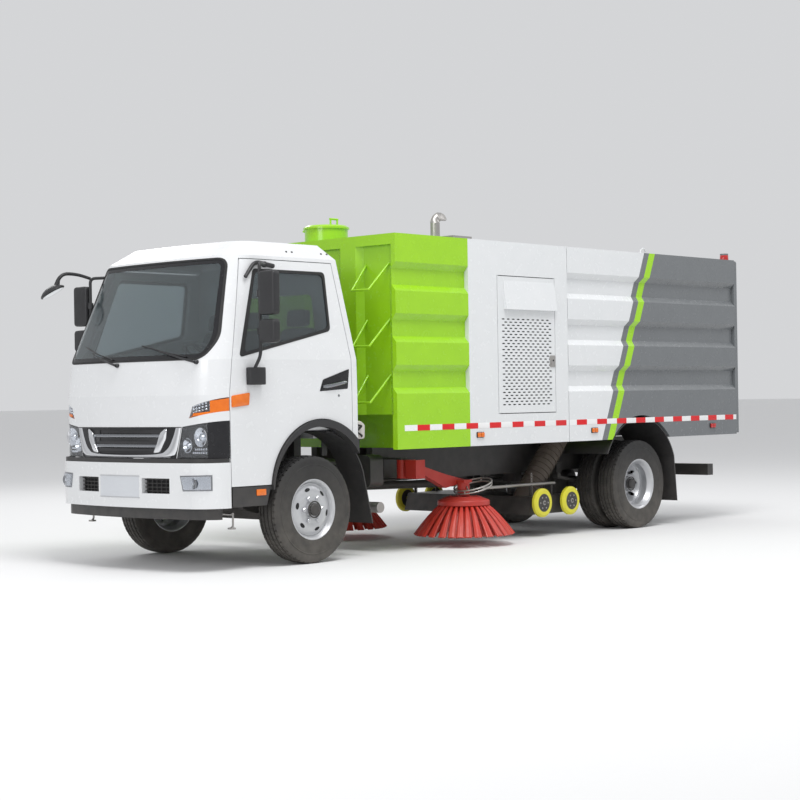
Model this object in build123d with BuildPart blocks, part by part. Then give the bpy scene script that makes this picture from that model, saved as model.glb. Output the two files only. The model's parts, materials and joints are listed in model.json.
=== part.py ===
# Street sweeper truck: tilting cab, clean water tank, engine bay, tipping hopper and sweeping gear.
# X runs forward, Y to the vehicle's left, Z up. The ground is Z = 0 under the centre of the box.
from build123d import *
import os
from math import cos, hypot, pi, radians, sin, sqrt

os.makedirs("parts", exist_ok=True)

# Stance and tyres
wheelbase = 5000
bumper_centre = 1335
tyre_radius = 487
tyre_width = 236
tyre_shoulder = 34
tread_crown = 8
rim_radius = 268
rim_flange = 12
front_tyre_face = 1103
rear_tyre_face = 1110
twin_spacing = 292
pin_gap = 0.1
body_gap = 8
overrun = 60
front_wheel_y = front_tyre_face - tyre_width / 2
rear_wheel_y = rear_tyre_face - tyre_width / 2
twin_inner_y = rear_wheel_y - twin_spacing

# Chassis frame
rail_half_width = 430
rail_height = 220
rail_flange = 72
rail_wall = 10
rail_top = 872
rail_front = 1085
rail_rear = 6400
rail_bottom = rail_top - rail_height
cross_member_height = 150
cross_member_length = 90
# share of the rail's length, counted from the front
cross_member_shares = (0.055, 0.335, 0.42, 0.50, 0.61, 0.90, 0.972)
subframe_height = 120
subframe_width = 80

# Body: tank, engine bay and hopper share one rib section
body_half_width = 1180
body_bottom = 992
body_top = 3030
tank_front = 1030
tank_length = 1045
bay_length = 1576
hopper_length = 3200
join_gap = 10
rib_pitch = 486
rib_first = 1652
rib_height = 272
rib_bevel = 58
rib_depth = 50
rib_count = 3
body_roof = 50
body_floor = 60
tank_rear = tank_front + tank_length
bay_front = tank_rear
bay_rear = bay_front + bay_length
hopper_front = bay_rear + join_gap
hopper_rear = hopper_front + hopper_length
tank_notch_length = 430
tank_notch_top = 1322
skirt_wall = 60
subframe_front = tank_front + tank_notch_length
subframe_top = rail_top + subframe_height
hopper_floor_gap = 14
gate_wall = 62
gate_handle = 22

# The box is centred between the bumper's nose and the tailgate's outer bars
rear_reach = hopper_rear + body_gap + gate_wall + gate_handle
front_axle_x = (rear_reach - bumper_centre) / 2
rear_axle_x = front_axle_x - wheelbase

# Cab
cab_half_width = 1085
cab_front = 1275
cab_rear = 595
cab_floor = 1250
cab_floor_thickness = 50
cab_lip = 985
cab_wall = 66
cab_skin = 26
cab_glass_thickness = 8
cab_glass_inset = 3
belt_height = 1835
cab_tilt_x = 1140
cab_tilt_z = 1020
door_gap = 7
door_front = 962
door_rear = 522
door_bottom = 734
door_top = 2722
arch_back = 125
arch_height = 673
arch_radius = 622
flare_width = 62
sill_bottom = 556


def ahead(distance):
    """X of a station ahead of the front axle."""
    return front_axle_x + distance


def behind(distance):
    """X of a station behind the front axle."""
    return front_axle_x - distance


def slab(low, high, mode=Mode.ADD):
    """Block between two opposite corners."""
    with BuildSketch(Plane.XY.offset(low[2])) as outline:
        with Locations(((low[0] + high[0]) / 2, (low[1] + high[1]) / 2)):
            Rectangle(high[0] - low[0], high[1] - low[1])
    extrude(outline.sketch, amount=high[2] - low[2], mode=mode)


def side_prism(points, y_low, y_high, mode=Mode.ADD, corner=0):
    """Outline in X and Z carried across the width."""
    with BuildSketch(Plane.XZ.offset(-y_low)) as outline:
        with BuildLine():
            Polyline(*points, close=True)
        make_face()
        if corner > 0:
            fillet(outline.vertices(), corner)
    extrude(outline.sketch, amount=y_low - y_high, mode=mode)


def cross_prism(points, x_low, x_high, mode=Mode.ADD, corner=0):
    """Outline in Y and Z carried along the length."""
    with BuildSketch(Plane.YZ.offset(x_low)) as outline:
        with BuildLine():
            Polyline(*points, close=True)
        make_face()
        if corner > 0:
            fillet(outline.vertices(), corner)
    extrude(outline.sketch, amount=x_high - x_low, mode=mode)


def plan_prism(points, z_low, z_high, mode=Mode.ADD, corner=0):
    """Outline in X and Y carried upwards."""
    with BuildSketch(Plane.XY.offset(z_low)) as outline:
        with BuildLine():
            Polyline(*points, close=True)
        make_face()
        if corner > 0:
            fillet(outline.vertices(), corner)
    extrude(outline.sketch, amount=z_high - z_low, mode=mode)


def bar(start, end, radius, mode=Mode.ADD):
    """Round bar between two points."""
    reach = Vector(*end) - Vector(*start)
    with BuildSketch(Plane(origin=start, z_dir=reach)) as outline:
        Circle(radius)
    extrude(outline.sketch, amount=reach.length, mode=mode)


def side_disc(x, z, radius, y_low, y_high, mode=Mode.ADD):
    """Round disc with its axis across the width."""
    with BuildSketch(Plane.XZ.offset(-y_low)) as outline:
        with Locations((x, z)):
            Circle(radius)
    extrude(outline.sketch, amount=y_low - y_high, mode=mode)


def lathe(points, x, z, mode=Mode.ADD):
    """Profile of Y places and radii turned about an axis across the width."""
    with BuildSketch(Plane.YZ.offset(x)) as outline:
        with BuildLine():
            Polyline(*[(y, z + radius) for y, radius in points], close=True)
        make_face()
    revolve(outline.sketch, axis=Axis((x, 0, z), (0, 1, 0)), mode=mode)


def spun(points, x, y, mode=Mode.ADD):
    """Profile of radii and heights turned about an upright axis."""
    with BuildSketch(Plane.XZ.offset(-y)) as outline:
        with BuildLine():
            Polyline(*[(x + radius, height) for radius, height in points], close=True)
        make_face()
    revolve(outline.sketch, axis=Axis((x, y, 0), (0, 0, 1)), mode=mode)


def finish(piece, label):
    """Name a finished piece and write it."""
    piece.part.label = label
    export_step(piece.part, f"parts/{label}.step")


# Chassis frame: two channel rails, cross members, box subframe and the brackets they carry
spring_y = 480
spring_width = 70
front_spring_half = 600
rear_spring_half = 680
spring_eye_radius = 30
spring_eye_z = 600
hanger_length = 90
hanger_wall = 12
pivot_lug_y = 380
pivot_lug_width = 44
pivot_pin_radius = 20
pivot_lug_radius = 36
hinge_x = 6300
hinge_z = 930
hinge_end = 20
hinge_pin_radius = 25
hinge_ear_radius = 52
hinge_ear_width = 40
cylinder_foot_x = 4150
cylinder_foot_z = 800
cylinder_pin_radius = 22
cylinder_ear_radius = 45
cab_post_back = 400
cab_post_length = 90
cab_post_y = 380


def channel(side):
    """Section of one rail, with its flanges turned inwards."""
    outer = side * rail_half_width
    web = side * (rail_half_width - rail_wall)
    inner = side * (rail_half_width - rail_flange)
    return (
        (outer, rail_bottom), (outer, rail_top), (inner, rail_top), (inner, rail_top - rail_wall),
        (web, rail_top - rail_wall), (web, rail_bottom + rail_wall), (inner, rail_bottom + rail_wall),
        (inner, rail_bottom),
    )


rail_length = rail_front + rail_rear
with BuildPart() as chassis_frame:
    for side in (1, -1):
        cross_prism(channel(side), behind(rail_rear), ahead(rail_front))
    for share in cross_member_shares:
        middle = ahead(rail_front - share * rail_length)
        half = cross_member_length / 2
        web = rail_half_width - rail_wall
        top = rail_top - rail_wall
        slab((middle - half, -web, top - cross_member_height), (middle + half, web, top))
        slab((middle - half + rail_wall, -web, top - cross_member_height),
             (middle + half, web, top - rail_wall), mode=Mode.SUBTRACT)
    for side in (1, -1):
        outer = rail_half_width
        inner = rail_half_width - subframe_width
        low_y, high_y = sorted((side * inner, side * outer))
        slab((behind(hinge_x + hinge_end), low_y, rail_top),
             (behind(subframe_front), high_y, subframe_top))
        # spring hangers hang from the rail's outer face
        for axle_x, half in ((front_axle_x, front_spring_half), (rear_axle_x, rear_spring_half)):
            for end in (1, -1):
                eye_x = axle_x + end * half
                low_y, high_y = sorted((side * outer, side * (spring_y + spring_width / 2)))
                slab((eye_x - hanger_length / 2, low_y, spring_eye_z + spring_eye_radius),
                     (eye_x + hanger_length / 2, high_y, rail_bottom + hanger_length))
        # cab pivot bracket with its pin
        low_y, high_y = sorted((side * (pivot_lug_y + pivot_lug_width / 2 + body_gap), side * outer))
        slab((ahead(cab_tilt_x - pivot_lug_radius), low_y, rail_top - rail_wall),
             (ahead(cab_tilt_x), high_y, cab_tilt_z))
        side_disc(ahead(cab_tilt_x), cab_tilt_z, pivot_lug_radius, low_y, high_y)
        low_y, high_y = sorted((side * (pivot_lug_y - pivot_lug_width), side * outer))
        side_disc(ahead(cab_tilt_x), cab_tilt_z, pivot_pin_radius, low_y, high_y)
        slab((ahead(rail_front - overrun), min(side * (outer - rail_wall), side * outer),
              rail_bottom), (ahead(cab_tilt_x),
                             max(side * (outer - rail_wall), side * outer), cab_tilt_z - pivot_lug_radius))
    # cab rest posts behind the engine, just under the cab floor
    for side in (1, -1):
        low_y, high_y = sorted((side * (cab_post_y - rail_flange / 2), side * rail_half_width))
        slab((behind(cab_post_back + cab_post_length), low_y, rail_top - rail_wall),
             (behind(cab_post_back), high_y, cab_floor - cab_floor_thickness - pin_gap))
    # hopper hinge shaft through both subframe ends
    side_disc(behind(hinge_x), hinge_z, hinge_pin_radius, -rail_half_width - hinge_ear_width - body_gap,
              rail_half_width + hinge_ear_width + body_gap)
    # foot of the tipping cylinder between the rails
    foot_half = cylinder_ear_radius + hanger_wall
    slab((behind(cylinder_foot_x) - cylinder_ear_radius, -rail_half_width + rail_wall,
          rail_bottom + rail_wall), (behind(cylinder_foot_x) + cylinder_ear_radius,
                                     rail_half_width - rail_wall, rail_bottom + rail_flange))
    for side in (1, -1):
        low_y, high_y = sorted((side * foot_half, side * (foot_half + hanger_wall)))
        slab((behind(cylinder_foot_x) - cylinder_ear_radius, low_y, rail_bottom + rail_flange),
             (behind(cylinder_foot_x) + cylinder_ear_radius, high_y, cylinder_foot_z))
        side_disc(behind(cylinder_foot_x), cylinder_foot_z, cylinder_ear_radius, low_y, high_y)
    side_disc(behind(cylinder_foot_x), cylinder_foot_z, cylinder_pin_radius, -foot_half, foot_half)
finish(chassis_frame, "chassis_frame")

# Axles and leaf springs
kingpin_y = 862
kingpin_radius = 20
kingpin_half = 105
beam_height = 92
beam_width = 84
beam_drop = 66
axle_z = tyre_radius
leaf_sag = 78
leaf_pack = 62
leaf_thickness = 26
leaf_step_share = 0.55
seat_length = 150


def leaf_spring(axle_x, half, side, seat_z):
    """Arched pack: a long main leaf with eyes and a shorter pack under it."""
    low_y, high_y = sorted((side * (spring_y - spring_width / 2), side * (spring_y + spring_width / 2)))
    for reach, top, deep in ((half, 0, leaf_thickness),
                             (half * leaf_step_share, leaf_thickness, leaf_pack)):
        end_z = spring_eye_z - leaf_sag * (1 - (reach / half) ** 2)
        with BuildSketch(Plane.XZ.offset(-low_y)) as leaf:
            with BuildLine():
                upper = ThreePointArc((axle_x - reach, end_z - top),
                                      (axle_x, spring_eye_z - leaf_sag - top),
                                      (axle_x + reach, end_z - top))
                lower = ThreePointArc((axle_x - reach, end_z - top - leaf_thickness),
                                      (axle_x, spring_eye_z - leaf_sag - top - deep),
                                      (axle_x + reach, end_z - top - leaf_thickness))
                Line(upper @ 0, lower @ 0)
                Line(upper @ 1, lower @ 1)
            make_face()
        extrude(leaf.sketch, amount=low_y - high_y)
    for end in (1, -1):
        side_disc(axle_x + end * half, spring_eye_z, spring_eye_radius, low_y, high_y)
    low_seat = min(seat_z, spring_eye_z - leaf_sag)
    slab((axle_x - seat_length / 2, low_y, low_seat),
         (axle_x + seat_length / 2, high_y, max(seat_z, spring_eye_z - leaf_sag)))


with BuildPart() as front_axle:
    beam_top = axle_z - beam_drop + beam_height / 2
    beam_low = beam_top - beam_height
    arm_start = spring_y + spring_width
    eye_half = beam_height / 2
    arm_end = kingpin_y - beam_width / 2
    cross_prism(((-kingpin_y, axle_z - eye_half), (-arm_end, axle_z - eye_half), (-arm_start, beam_low),
                 (arm_start, beam_low), (arm_end, axle_z - eye_half), (kingpin_y, axle_z - eye_half),
                 (kingpin_y, axle_z + eye_half), (arm_end, axle_z + eye_half), (arm_start, beam_top),
                 (-arm_start, beam_top), (-arm_end, axle_z + eye_half), (-kingpin_y, axle_z + eye_half)),
                front_axle_x - beam_width / 2, front_axle_x + beam_width / 2)
    for side in (1, -1):
        bar((front_axle_x, side * kingpin_y, axle_z - eye_half),
            (front_axle_x, side * kingpin_y, axle_z + eye_half), beam_width / 2)
        bar((front_axle_x, side * kingpin_y, axle_z - kingpin_half),
            (front_axle_x, side * kingpin_y, axle_z + kingpin_half), kingpin_radius)
        leaf_spring(front_axle_x, front_spring_half, side, beam_top)
finish(front_axle, "front_axle")

housing_radius = 72
diff_radius = 205
diff_half = 150
spindle_radius = 48
stub_end = rear_tyre_face - 120
with BuildPart() as rear_axle:
    side_disc(rear_axle_x, axle_z, housing_radius, -twin_inner_y + tyre_width / 2 - overrun,
              twin_inner_y - tyre_width / 2 + overrun)
    side_disc(rear_axle_x, axle_z, spindle_radius, -stub_end, stub_end)
    lathe(((-diff_half, 0), (-diff_half, diff_radius / 2), (-diff_half / 2, diff_radius),
           (diff_half / 2, diff_radius), (diff_half, diff_radius / 2), (diff_half, 0)),
          rear_axle_x, axle_z)
    for side in (1, -1):
        leaf_spring(rear_axle_x, rear_spring_half, side, axle_z)
finish(rear_axle, "rear_axle")

# Engine, gearbox and propeller shaft under the cab
engine_front = 420
engine_rear = 440
engine_half_width = 330
engine_bottom = 560
engine_top = 1180
gearbox_rear = 1320
gearbox_radius = 190
shaft_z = 600
shaft_radius = 42
with BuildPart() as drive_line:
    slab((behind(engine_rear), -engine_half_width, engine_bottom),
         (ahead(engine_front), engine_half_width, engine_top))
    chamfer(drive_line.edges().filter_by(Axis.X), rail_flange)
    bar((behind(engine_rear), 0, shaft_z + gearbox_radius / 2),
        (behind(gearbox_rear), 0, shaft_z + gearbox_radius / 2), gearbox_radius)
    bar((behind(gearbox_rear), 0, shaft_z),
        (rear_axle_x + diff_radius + shaft_radius, 0, axle_z + shaft_radius), shaft_radius)
    for side in (1, -1):
        low_y, high_y = sorted((side * engine_half_width, side * (rail_half_width - rail_wall)))
        slab((behind(hanger_length / 2), low_y, rail_bottom + rail_flange),
             (ahead(hanger_length / 2), high_y, rail_top - rail_flange))
finish(drive_line, "engine_and_drive_line")

# Front bumper: one bowed shell with two air intakes
bumper_bottom = 552
bumper_top = 945
bumper_wall = 62
bumper_shoulder_x = 1245
bumper_shoulder_y = 880
bumper_side_x = 975
bumper_half_width = 1085
bumper_rear = 972
intake_inner = 305
intake_outer = 640
intake_low = 680
intake_high = 812


def bowed(front, shoulder_x, shoulder_y, side_x, half_width, rear):
    """Outline seen from above: bowed front, rounded corners and straight sides."""
    with BuildLine() as edge:
        left = TangentArc((side_x, half_width), (shoulder_x, shoulder_y), tangent=(1, 0))
        ThreePointArc((shoulder_x, shoulder_y), (front, 0), (shoulder_x, -shoulder_y))
        right = TangentArc((side_x, -half_width), (shoulder_x, -shoulder_y), tangent=(1, 0))
        Polyline(left @ 0, (rear, half_width), (rear, -half_width), right @ 0)
    make_face(edge.line)


with BuildPart() as front_bumper:
    for inset, mode in ((0, Mode.ADD), (bumper_wall, Mode.SUBTRACT)):
        with BuildSketch(Plane.XY.offset(bumper_bottom - min(inset, 0))):
            bowed(ahead(bumper_centre - inset), ahead(bumper_shoulder_x - inset),
                  bumper_shoulder_y - inset / 2, ahead(bumper_side_x - inset / 2),
                  bumper_half_width - inset, ahead(bumper_rear) - inset)
        extrude(amount=bumper_top - bumper_bottom, mode=mode)
    slab((ahead(bumper_rear) - overrun - bumper_wall, -bumper_half_width - overrun, bumper_bottom - overrun),
         (ahead(bumper_rear), bumper_half_width + overrun, bumper_top + overrun), mode=Mode.SUBTRACT)
    for side in (1, -1):
        low_y, high_y = sorted((side * intake_inner, side * intake_outer))
        slab((ahead(bumper_rear), low_y, intake_low), (ahead(bumper_centre + overrun), high_y, intake_high),
             mode=Mode.SUBTRACT)
        # bracket from the shell back to the rail's end
        low_y, high_y = sorted((side * (rail_half_width - rail_flange), side * (rail_half_width - rail_wall)))
        slab((ahead(rail_front), low_y, intake_low - rail_flange),
             (ahead(bumper_centre - bumper_wall), high_y, intake_low))
finish(front_bumper, "front_bumper")


# Body section: flat panels with long pressed recesses along each side


def ribbed_edge(side, shrink):
    """Y and Z points up one side of the body, drawn in by shrink."""
    outer = side * (body_half_width - shrink)
    inner = side * (body_half_width - rib_depth - shrink)
    points = [(outer, body_bottom)]
    for step in range(rib_count):
        low = rib_first - rib_height / 2 + step * rib_pitch
        points += [(outer, low), (inner, low + rib_bevel), (inner, low + rib_height - rib_bevel),
                   (outer, low + rib_height)]
    points.append((outer, body_top))
    return points


body_section = ribbed_edge(1, 0) + ribbed_edge(-1, 0)[::-1]

# Clean water tank, closed, with pressed front panels, a filler neck and climbing hoops
front_panel_depth = 48
front_panel_bevel = 70
front_panel_top = 2928
# middle and width of each front recess as shares of the body's half width
front_panel_shares = ((0.76, 0.40), (0.17, 0.44), (-0.45, 0.44))
neck_back = 270
neck_radius = 215
neck_height = 128
hoop_count = 3
hoop_pitch = 530
hoop_first = 1700
hoop_reach = 250
hoop_drop = 262
hoop_radius = 11
hoop_half_width = 150
hoop_taper = 40
hoop_y = 905
neck_x = behind(tank_front + neck_back)

with BuildPart() as water_tank:
    cross_prism(body_section, behind(tank_rear), behind(tank_front))
    slab((behind(tank_front + tank_notch_length), -body_half_width + skirt_wall, body_bottom - overrun),
         (behind(tank_front) + overrun, body_half_width - skirt_wall, tank_notch_top), mode=Mode.SUBTRACT)
    for middle_share, width_share in front_panel_shares:
        middle = middle_share * body_half_width
        half = width_share * body_half_width / 2
        face = behind(tank_front)
        plan_prism(((face, middle - half), (face - front_panel_depth, middle - half + front_panel_bevel),
                    (face - front_panel_depth, middle + half - front_panel_bevel), (face, middle + half)),
                   tank_notch_top, front_panel_top, mode=Mode.SUBTRACT)
    spun(((0, body_top - overrun), (neck_radius, body_top - overrun), (neck_radius, body_top + neck_height),
          (0, body_top + neck_height)), neck_x, 0)
    for step in range(hoop_count):
        top = hoop_first + step * hoop_pitch
        wall_x = behind(tank_front + front_panel_depth) - hoop_radius
        tread_x = wall_x + hoop_reach
        corners = ((wall_x, hoop_y - hoop_half_width, top),
                   (tread_x, hoop_y - hoop_half_width + hoop_taper, top - hoop_drop),
                   (tread_x, hoop_y + hoop_half_width - hoop_taper, top - hoop_drop),
                   (wall_x, hoop_y + hoop_half_width, top))
        for start, end in zip(corners[:-1], corners[1:]):
            bar(start, end, hoop_radius)
        for corner_point in corners[1:3]:
            with Locations(corner_point):
                Sphere(hoop_radius)
finish(water_tank, "water_tank")

# Filler lid with its hinge ears and clamp handle
lid_height = 36
lid_rim = 14
lid_hinge_offset = 52
lid_pin_radius = 9
lid_pin_half = 62
lid_ear = 26
handle_height = 62
handle_radius = 10
handle_half = 46
neck_top = body_top + neck_height
lid_hinge_y = -neck_radius - lid_hinge_offset
lid_hinge_z = neck_top - lid_ear / 2
with BuildPart() as tank_lid:
    spun(((0, neck_top + pin_gap), (neck_radius + lid_rim, neck_top + pin_gap),
          (neck_radius + lid_rim, neck_top + lid_height / 2), (neck_radius - lid_rim, neck_top + lid_height),
          (0, neck_top + lid_height + lid_rim)), neck_x, 0)
    for end in (1, -1):
        low_x, high_x = sorted((neck_x + end * lid_ear / 2, neck_x + end * (lid_ear / 2 + lid_ear)))
        slab((low_x, lid_hinge_y, neck_top + pin_gap), (high_x, -neck_radius, neck_top + lid_height / 2))
        bar((low_x, lid_hinge_y, lid_hinge_z + lid_ear / 2), (high_x, lid_hinge_y, lid_hinge_z + lid_ear / 2),
            lid_ear / 2)
    bar((neck_x - lid_ear * 2, lid_hinge_y, lid_hinge_z + lid_ear / 2),
        (neck_x + lid_ear * 2, lid_hinge_y, lid_hinge_z + lid_ear / 2), lid_pin_radius + pin_gap,
        mode=Mode.SUBTRACT)
    grip = neck_top + lid_height + handle_height
    for end in (1, -1):
        bar((neck_x + end * handle_half, neck_radius / 2, neck_top + lid_height / 2),
            (neck_x + end * handle_half, neck_radius / 2, grip), handle_radius)
    bar((neck_x - handle_half - handle_radius, neck_radius / 2, grip),
        (neck_x + handle_half + handle_radius, neck_radius / 2, grip), handle_radius)
finish(tank_lid, "tank_lid")

# Lid hinge bracket stands on the tank roof beside the neck
with BuildPart() as lid_bracket:
    slab((neck_x - lid_ear / 2 + pin_gap, lid_hinge_y - lid_ear / 2, body_top),
         (neck_x + lid_ear / 2 - pin_gap, lid_hinge_y + lid_ear / 2, lid_hinge_z + lid_ear / 2))
    bar((neck_x - lid_ear / 2 + pin_gap, lid_hinge_y, lid_hinge_z + lid_ear / 2),
        (neck_x + lid_ear / 2 - pin_gap, lid_hinge_y, lid_hinge_z + lid_ear / 2), lid_ear / 2)
    bar((neck_x - lid_pin_half, lid_hinge_y, lid_hinge_z + lid_ear / 2),
        (neck_x + lid_pin_half, lid_hinge_y, lid_hinge_z + lid_ear / 2), lid_pin_radius)
finish(lid_bracket, "lid_bracket")

# Engine bay: hollow white housing with a door opening in each side
bay_wall = 45
bay_door_front = 2512
bay_door_rear = 3442
bay_door_low = 1300
bay_door_high = 2690
bay_pin_radius = 7
bay_pin_length = 24
bay_pin_inset = 20
bay_pin_depth = 9
with BuildPart() as engine_bay:
    slab((behind(bay_rear), -body_half_width, body_bottom), (behind(bay_front), body_half_width, body_top))
    slab((behind(bay_rear - bay_wall), -body_half_width + bay_wall, body_bottom + bay_wall),
         (behind(bay_front + bay_wall), body_half_width - bay_wall, body_top - bay_wall),
         mode=Mode.SUBTRACT)
    slab((behind(bay_door_rear), -body_half_width - overrun, bay_door_low),
         (behind(bay_door_front), body_half_width + overrun, bay_door_high), mode=Mode.SUBTRACT)
    for side in (1, -1):
        pin_x = behind(bay_door_front + bay_pin_inset)
        pin_y = side * (body_half_width - bay_pin_depth)
        for z_start, z_end in ((bay_door_low, bay_door_low + bay_pin_length),
                               (bay_door_high, bay_door_high - bay_pin_length)):
            bar((pin_x, pin_y, z_start), (pin_x, pin_y, z_end), bay_pin_radius)
finish(engine_bay, "engine_bay")

# Bay doors: panel on two pins with a projecting air hood and a latch
hood_front = 2615
hood_rear = 3433
hood_low = 2349
hood_high = 2640
hood_reach = 42
door_panel = 34
latch_back = 3386
latch_z = 1831
latch_half = 34
latch_height = 52
latch_depth = 8
for hand, side in (("left", 1), ("right", -1)):
    with BuildPart() as bay_door:
        face = side * body_half_width
        back = side * (body_half_width - door_panel)
        low_y, high_y = sorted((back, face))
        slab((behind(bay_door_rear - body_gap), low_y, bay_door_low + body_gap),
             (behind(bay_door_front + body_gap), high_y, bay_door_high - body_gap))
        pin_x = behind(bay_door_front + bay_pin_inset)
        pin_y = side * (body_half_width - bay_pin_depth)
        for z_start, z_end in ((bay_door_low, bay_door_low + bay_pin_length + body_gap),
                               (bay_door_high, bay_door_high - bay_pin_length - body_gap)):
            bar((pin_x, pin_y, z_start), (pin_x, pin_y, z_end), bay_pin_radius + pin_gap,
                mode=Mode.SUBTRACT)
        hood_face = side * (body_half_width + hood_reach)
        cross_prism(((face, hood_high), (hood_face, hood_low), (face, hood_low)),
                    behind(hood_rear), behind(hood_front))
        low_y, high_y = sorted((face, side * (body_half_width + latch_depth)))
        slab((behind(latch_back) - latch_half, low_y, latch_z - latch_height),
             (behind(latch_back) + latch_half, high_y, latch_z + latch_height))
    finish(bay_door, f"engine_door_{hand}")

# Auxiliary engine in the bay: one plain block on its floor
motor_front = 2280
motor_rear = 3300
motor_half_width = 400
motor_height = 820
with BuildPart() as bay_engine:
    slab((behind(motor_rear), -motor_half_width, body_bottom + bay_wall),
         (behind(motor_front), motor_half_width, body_bottom + bay_wall + motor_height))
    chamfer(bay_engine.edges().filter_by(Axis.X).group_by(Axis.Z)[-1], rail_flange)
finish(bay_engine, "auxiliary_engine")

# Roof fittings over the bay: silencer box and the exhaust elbow that points to the rear
elbow_x = 2250
elbow_y = 600
elbow_radius = 48
elbow_height = 205
elbow_bend = 72
elbow_tail = 74
box_front = 2130
box_rear = 2420
box_y = 640
box_half_width = 150
box_height = 74
pipe_x = behind(elbow_x)
box_start = behind(elbow_x + elbow_radius + body_gap)
with BuildPart() as roof_exhaust:
    with BuildLine() as elbow_path:
        Line((pipe_x, elbow_y, body_top), (pipe_x, elbow_y, body_top + elbow_height))
        RadiusArc((pipe_x, elbow_y, body_top + elbow_height),
                  (pipe_x - elbow_bend, elbow_y, body_top + elbow_height + elbow_bend), elbow_bend)
        Line((pipe_x - elbow_bend, elbow_y, body_top + elbow_height + elbow_bend),
             (pipe_x - elbow_bend - elbow_tail, elbow_y, body_top + elbow_height + elbow_bend))
    with BuildSketch(Plane.XY.offset(body_top)) as elbow_ring:
        with Locations((pipe_x, elbow_y)):
            Circle(elbow_radius)
    sweep(elbow_ring.sketch, path=elbow_path.line)
    slab((box_start - (box_rear - box_front), box_y - box_half_width, body_top),
         (box_start, box_y + box_half_width, body_top + box_height))
    chamfer(roof_exhaust.faces().filter_by(GeomType.PLANE).sort_by(Axis.Z)[-1:].edges(), handle_radius)
finish(roof_exhaust, "roof_exhaust")

# Hopper: ribbed tipping body, open at the rear, with boxed wheel pockets over the twins
hopper_wall = 80
hopper_front_wall = 50
pocket_radius = 704
pocket_wall = 30
guard_back = 4950
guard_z = 540
guard_radius = 684
guard_wall = 14
pocket_inner_y = 545
tailgate_axis_drop = 40
tailgate_lug_half = 30
tailgate_lug_y = 640
tailgate_pin_radius = 16
rod_eye_back = 5350
rod_eye_z = 940
eye_lug_half = 56
eye_lug_wall = 14
beacon_radius = 48
beacon_height = 78
beacon_inset = 82
hopper_floor_z = body_bottom + hopper_floor_gap
gate_axis_x = behind(hopper_rear + body_gap + gate_wall / 2)
gate_axis_z = body_top - tailgate_axis_drop
with BuildPart() as hopper:
    cross_prism(body_section, behind(hopper_rear), behind(hopper_front))
    inner_half = body_half_width - hopper_wall
    slab((behind(hopper_rear) - overrun, -inner_half, hopper_floor_z + body_floor),
         (behind(hopper_front + hopper_front_wall), inner_half, body_top - body_roof), mode=Mode.SUBTRACT)
    # wheel boxes rise through the floor before their pockets are cut
    for side in (1, -1):
        low_y, high_y = sorted((side * (pocket_inner_y - pocket_wall), side * inner_half))
        side_disc(behind(guard_back), guard_z, pocket_radius + pocket_wall, low_y, high_y)
    slab((behind(hopper_rear) - overrun, -inner_half, guard_z - pocket_radius - overrun),
         (behind(hopper_front) + overrun, inner_half, hopper_floor_z), mode=Mode.SUBTRACT)
    for side in (1, -1):
        low_y, high_y = sorted((side * pocket_inner_y, side * (body_half_width + overrun)))
        side_disc(behind(guard_back), guard_z, pocket_radius, low_y, high_y, mode=Mode.SUBTRACT)
    for side in (1, -1):
        # hinge lugs outside the subframe
        low_y, high_y = sorted((side * (rail_half_width + body_gap),
                                side * (rail_half_width + body_gap + hinge_ear_width)))
        slab((behind(hinge_x) - hinge_ear_radius, low_y, hinge_z),
             (behind(hinge_x) + hinge_ear_radius, high_y, hopper_floor_z + body_floor / 2))
        side_disc(behind(hinge_x), hinge_z, hinge_ear_radius, low_y, high_y)
        side_disc(behind(hinge_x), hinge_z, hinge_pin_radius + pin_gap, low_y - overrun, high_y + overrun,
                  mode=Mode.SUBTRACT)
        # lugs that carry the tipping rod's eye
        low_y, high_y = sorted((side * eye_lug_half, side * (eye_lug_half + eye_lug_wall)))
        slab((behind(rod_eye_back) - cylinder_ear_radius, low_y, rod_eye_z),
             (behind(rod_eye_back) + cylinder_ear_radius, high_y, hopper_floor_z + body_floor / 2))
        side_disc(behind(rod_eye_back), rod_eye_z, cylinder_ear_radius, low_y, high_y)
        # tailgate lugs at the rear roof edge, each with a pin stub
        low_y, high_y = sorted((side * (tailgate_lug_y - tailgate_lug_half),
                                side * (tailgate_lug_y + tailgate_lug_half)))
        slab((gate_axis_x, low_y, gate_axis_z - tailgate_lug_half),
             (behind(hopper_rear - hopper_front_wall), high_y, gate_axis_z + tailgate_lug_half))
        side_disc(gate_axis_x, gate_axis_z, tailgate_lug_half, low_y, high_y)
        side_disc(gate_axis_x, gate_axis_z, tailgate_pin_radius, low_y - tailgate_lug_half,
                  high_y + tailgate_lug_half)
        # beacon on the rear roof corner
        bar((behind(hopper_rear - beacon_inset), side * (body_half_width - beacon_inset), body_top),
            (behind(hopper_rear - beacon_inset), side * (body_half_width - beacon_inset),
             body_top + beacon_height), beacon_radius)
finish(hopper, "hopper")

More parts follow.
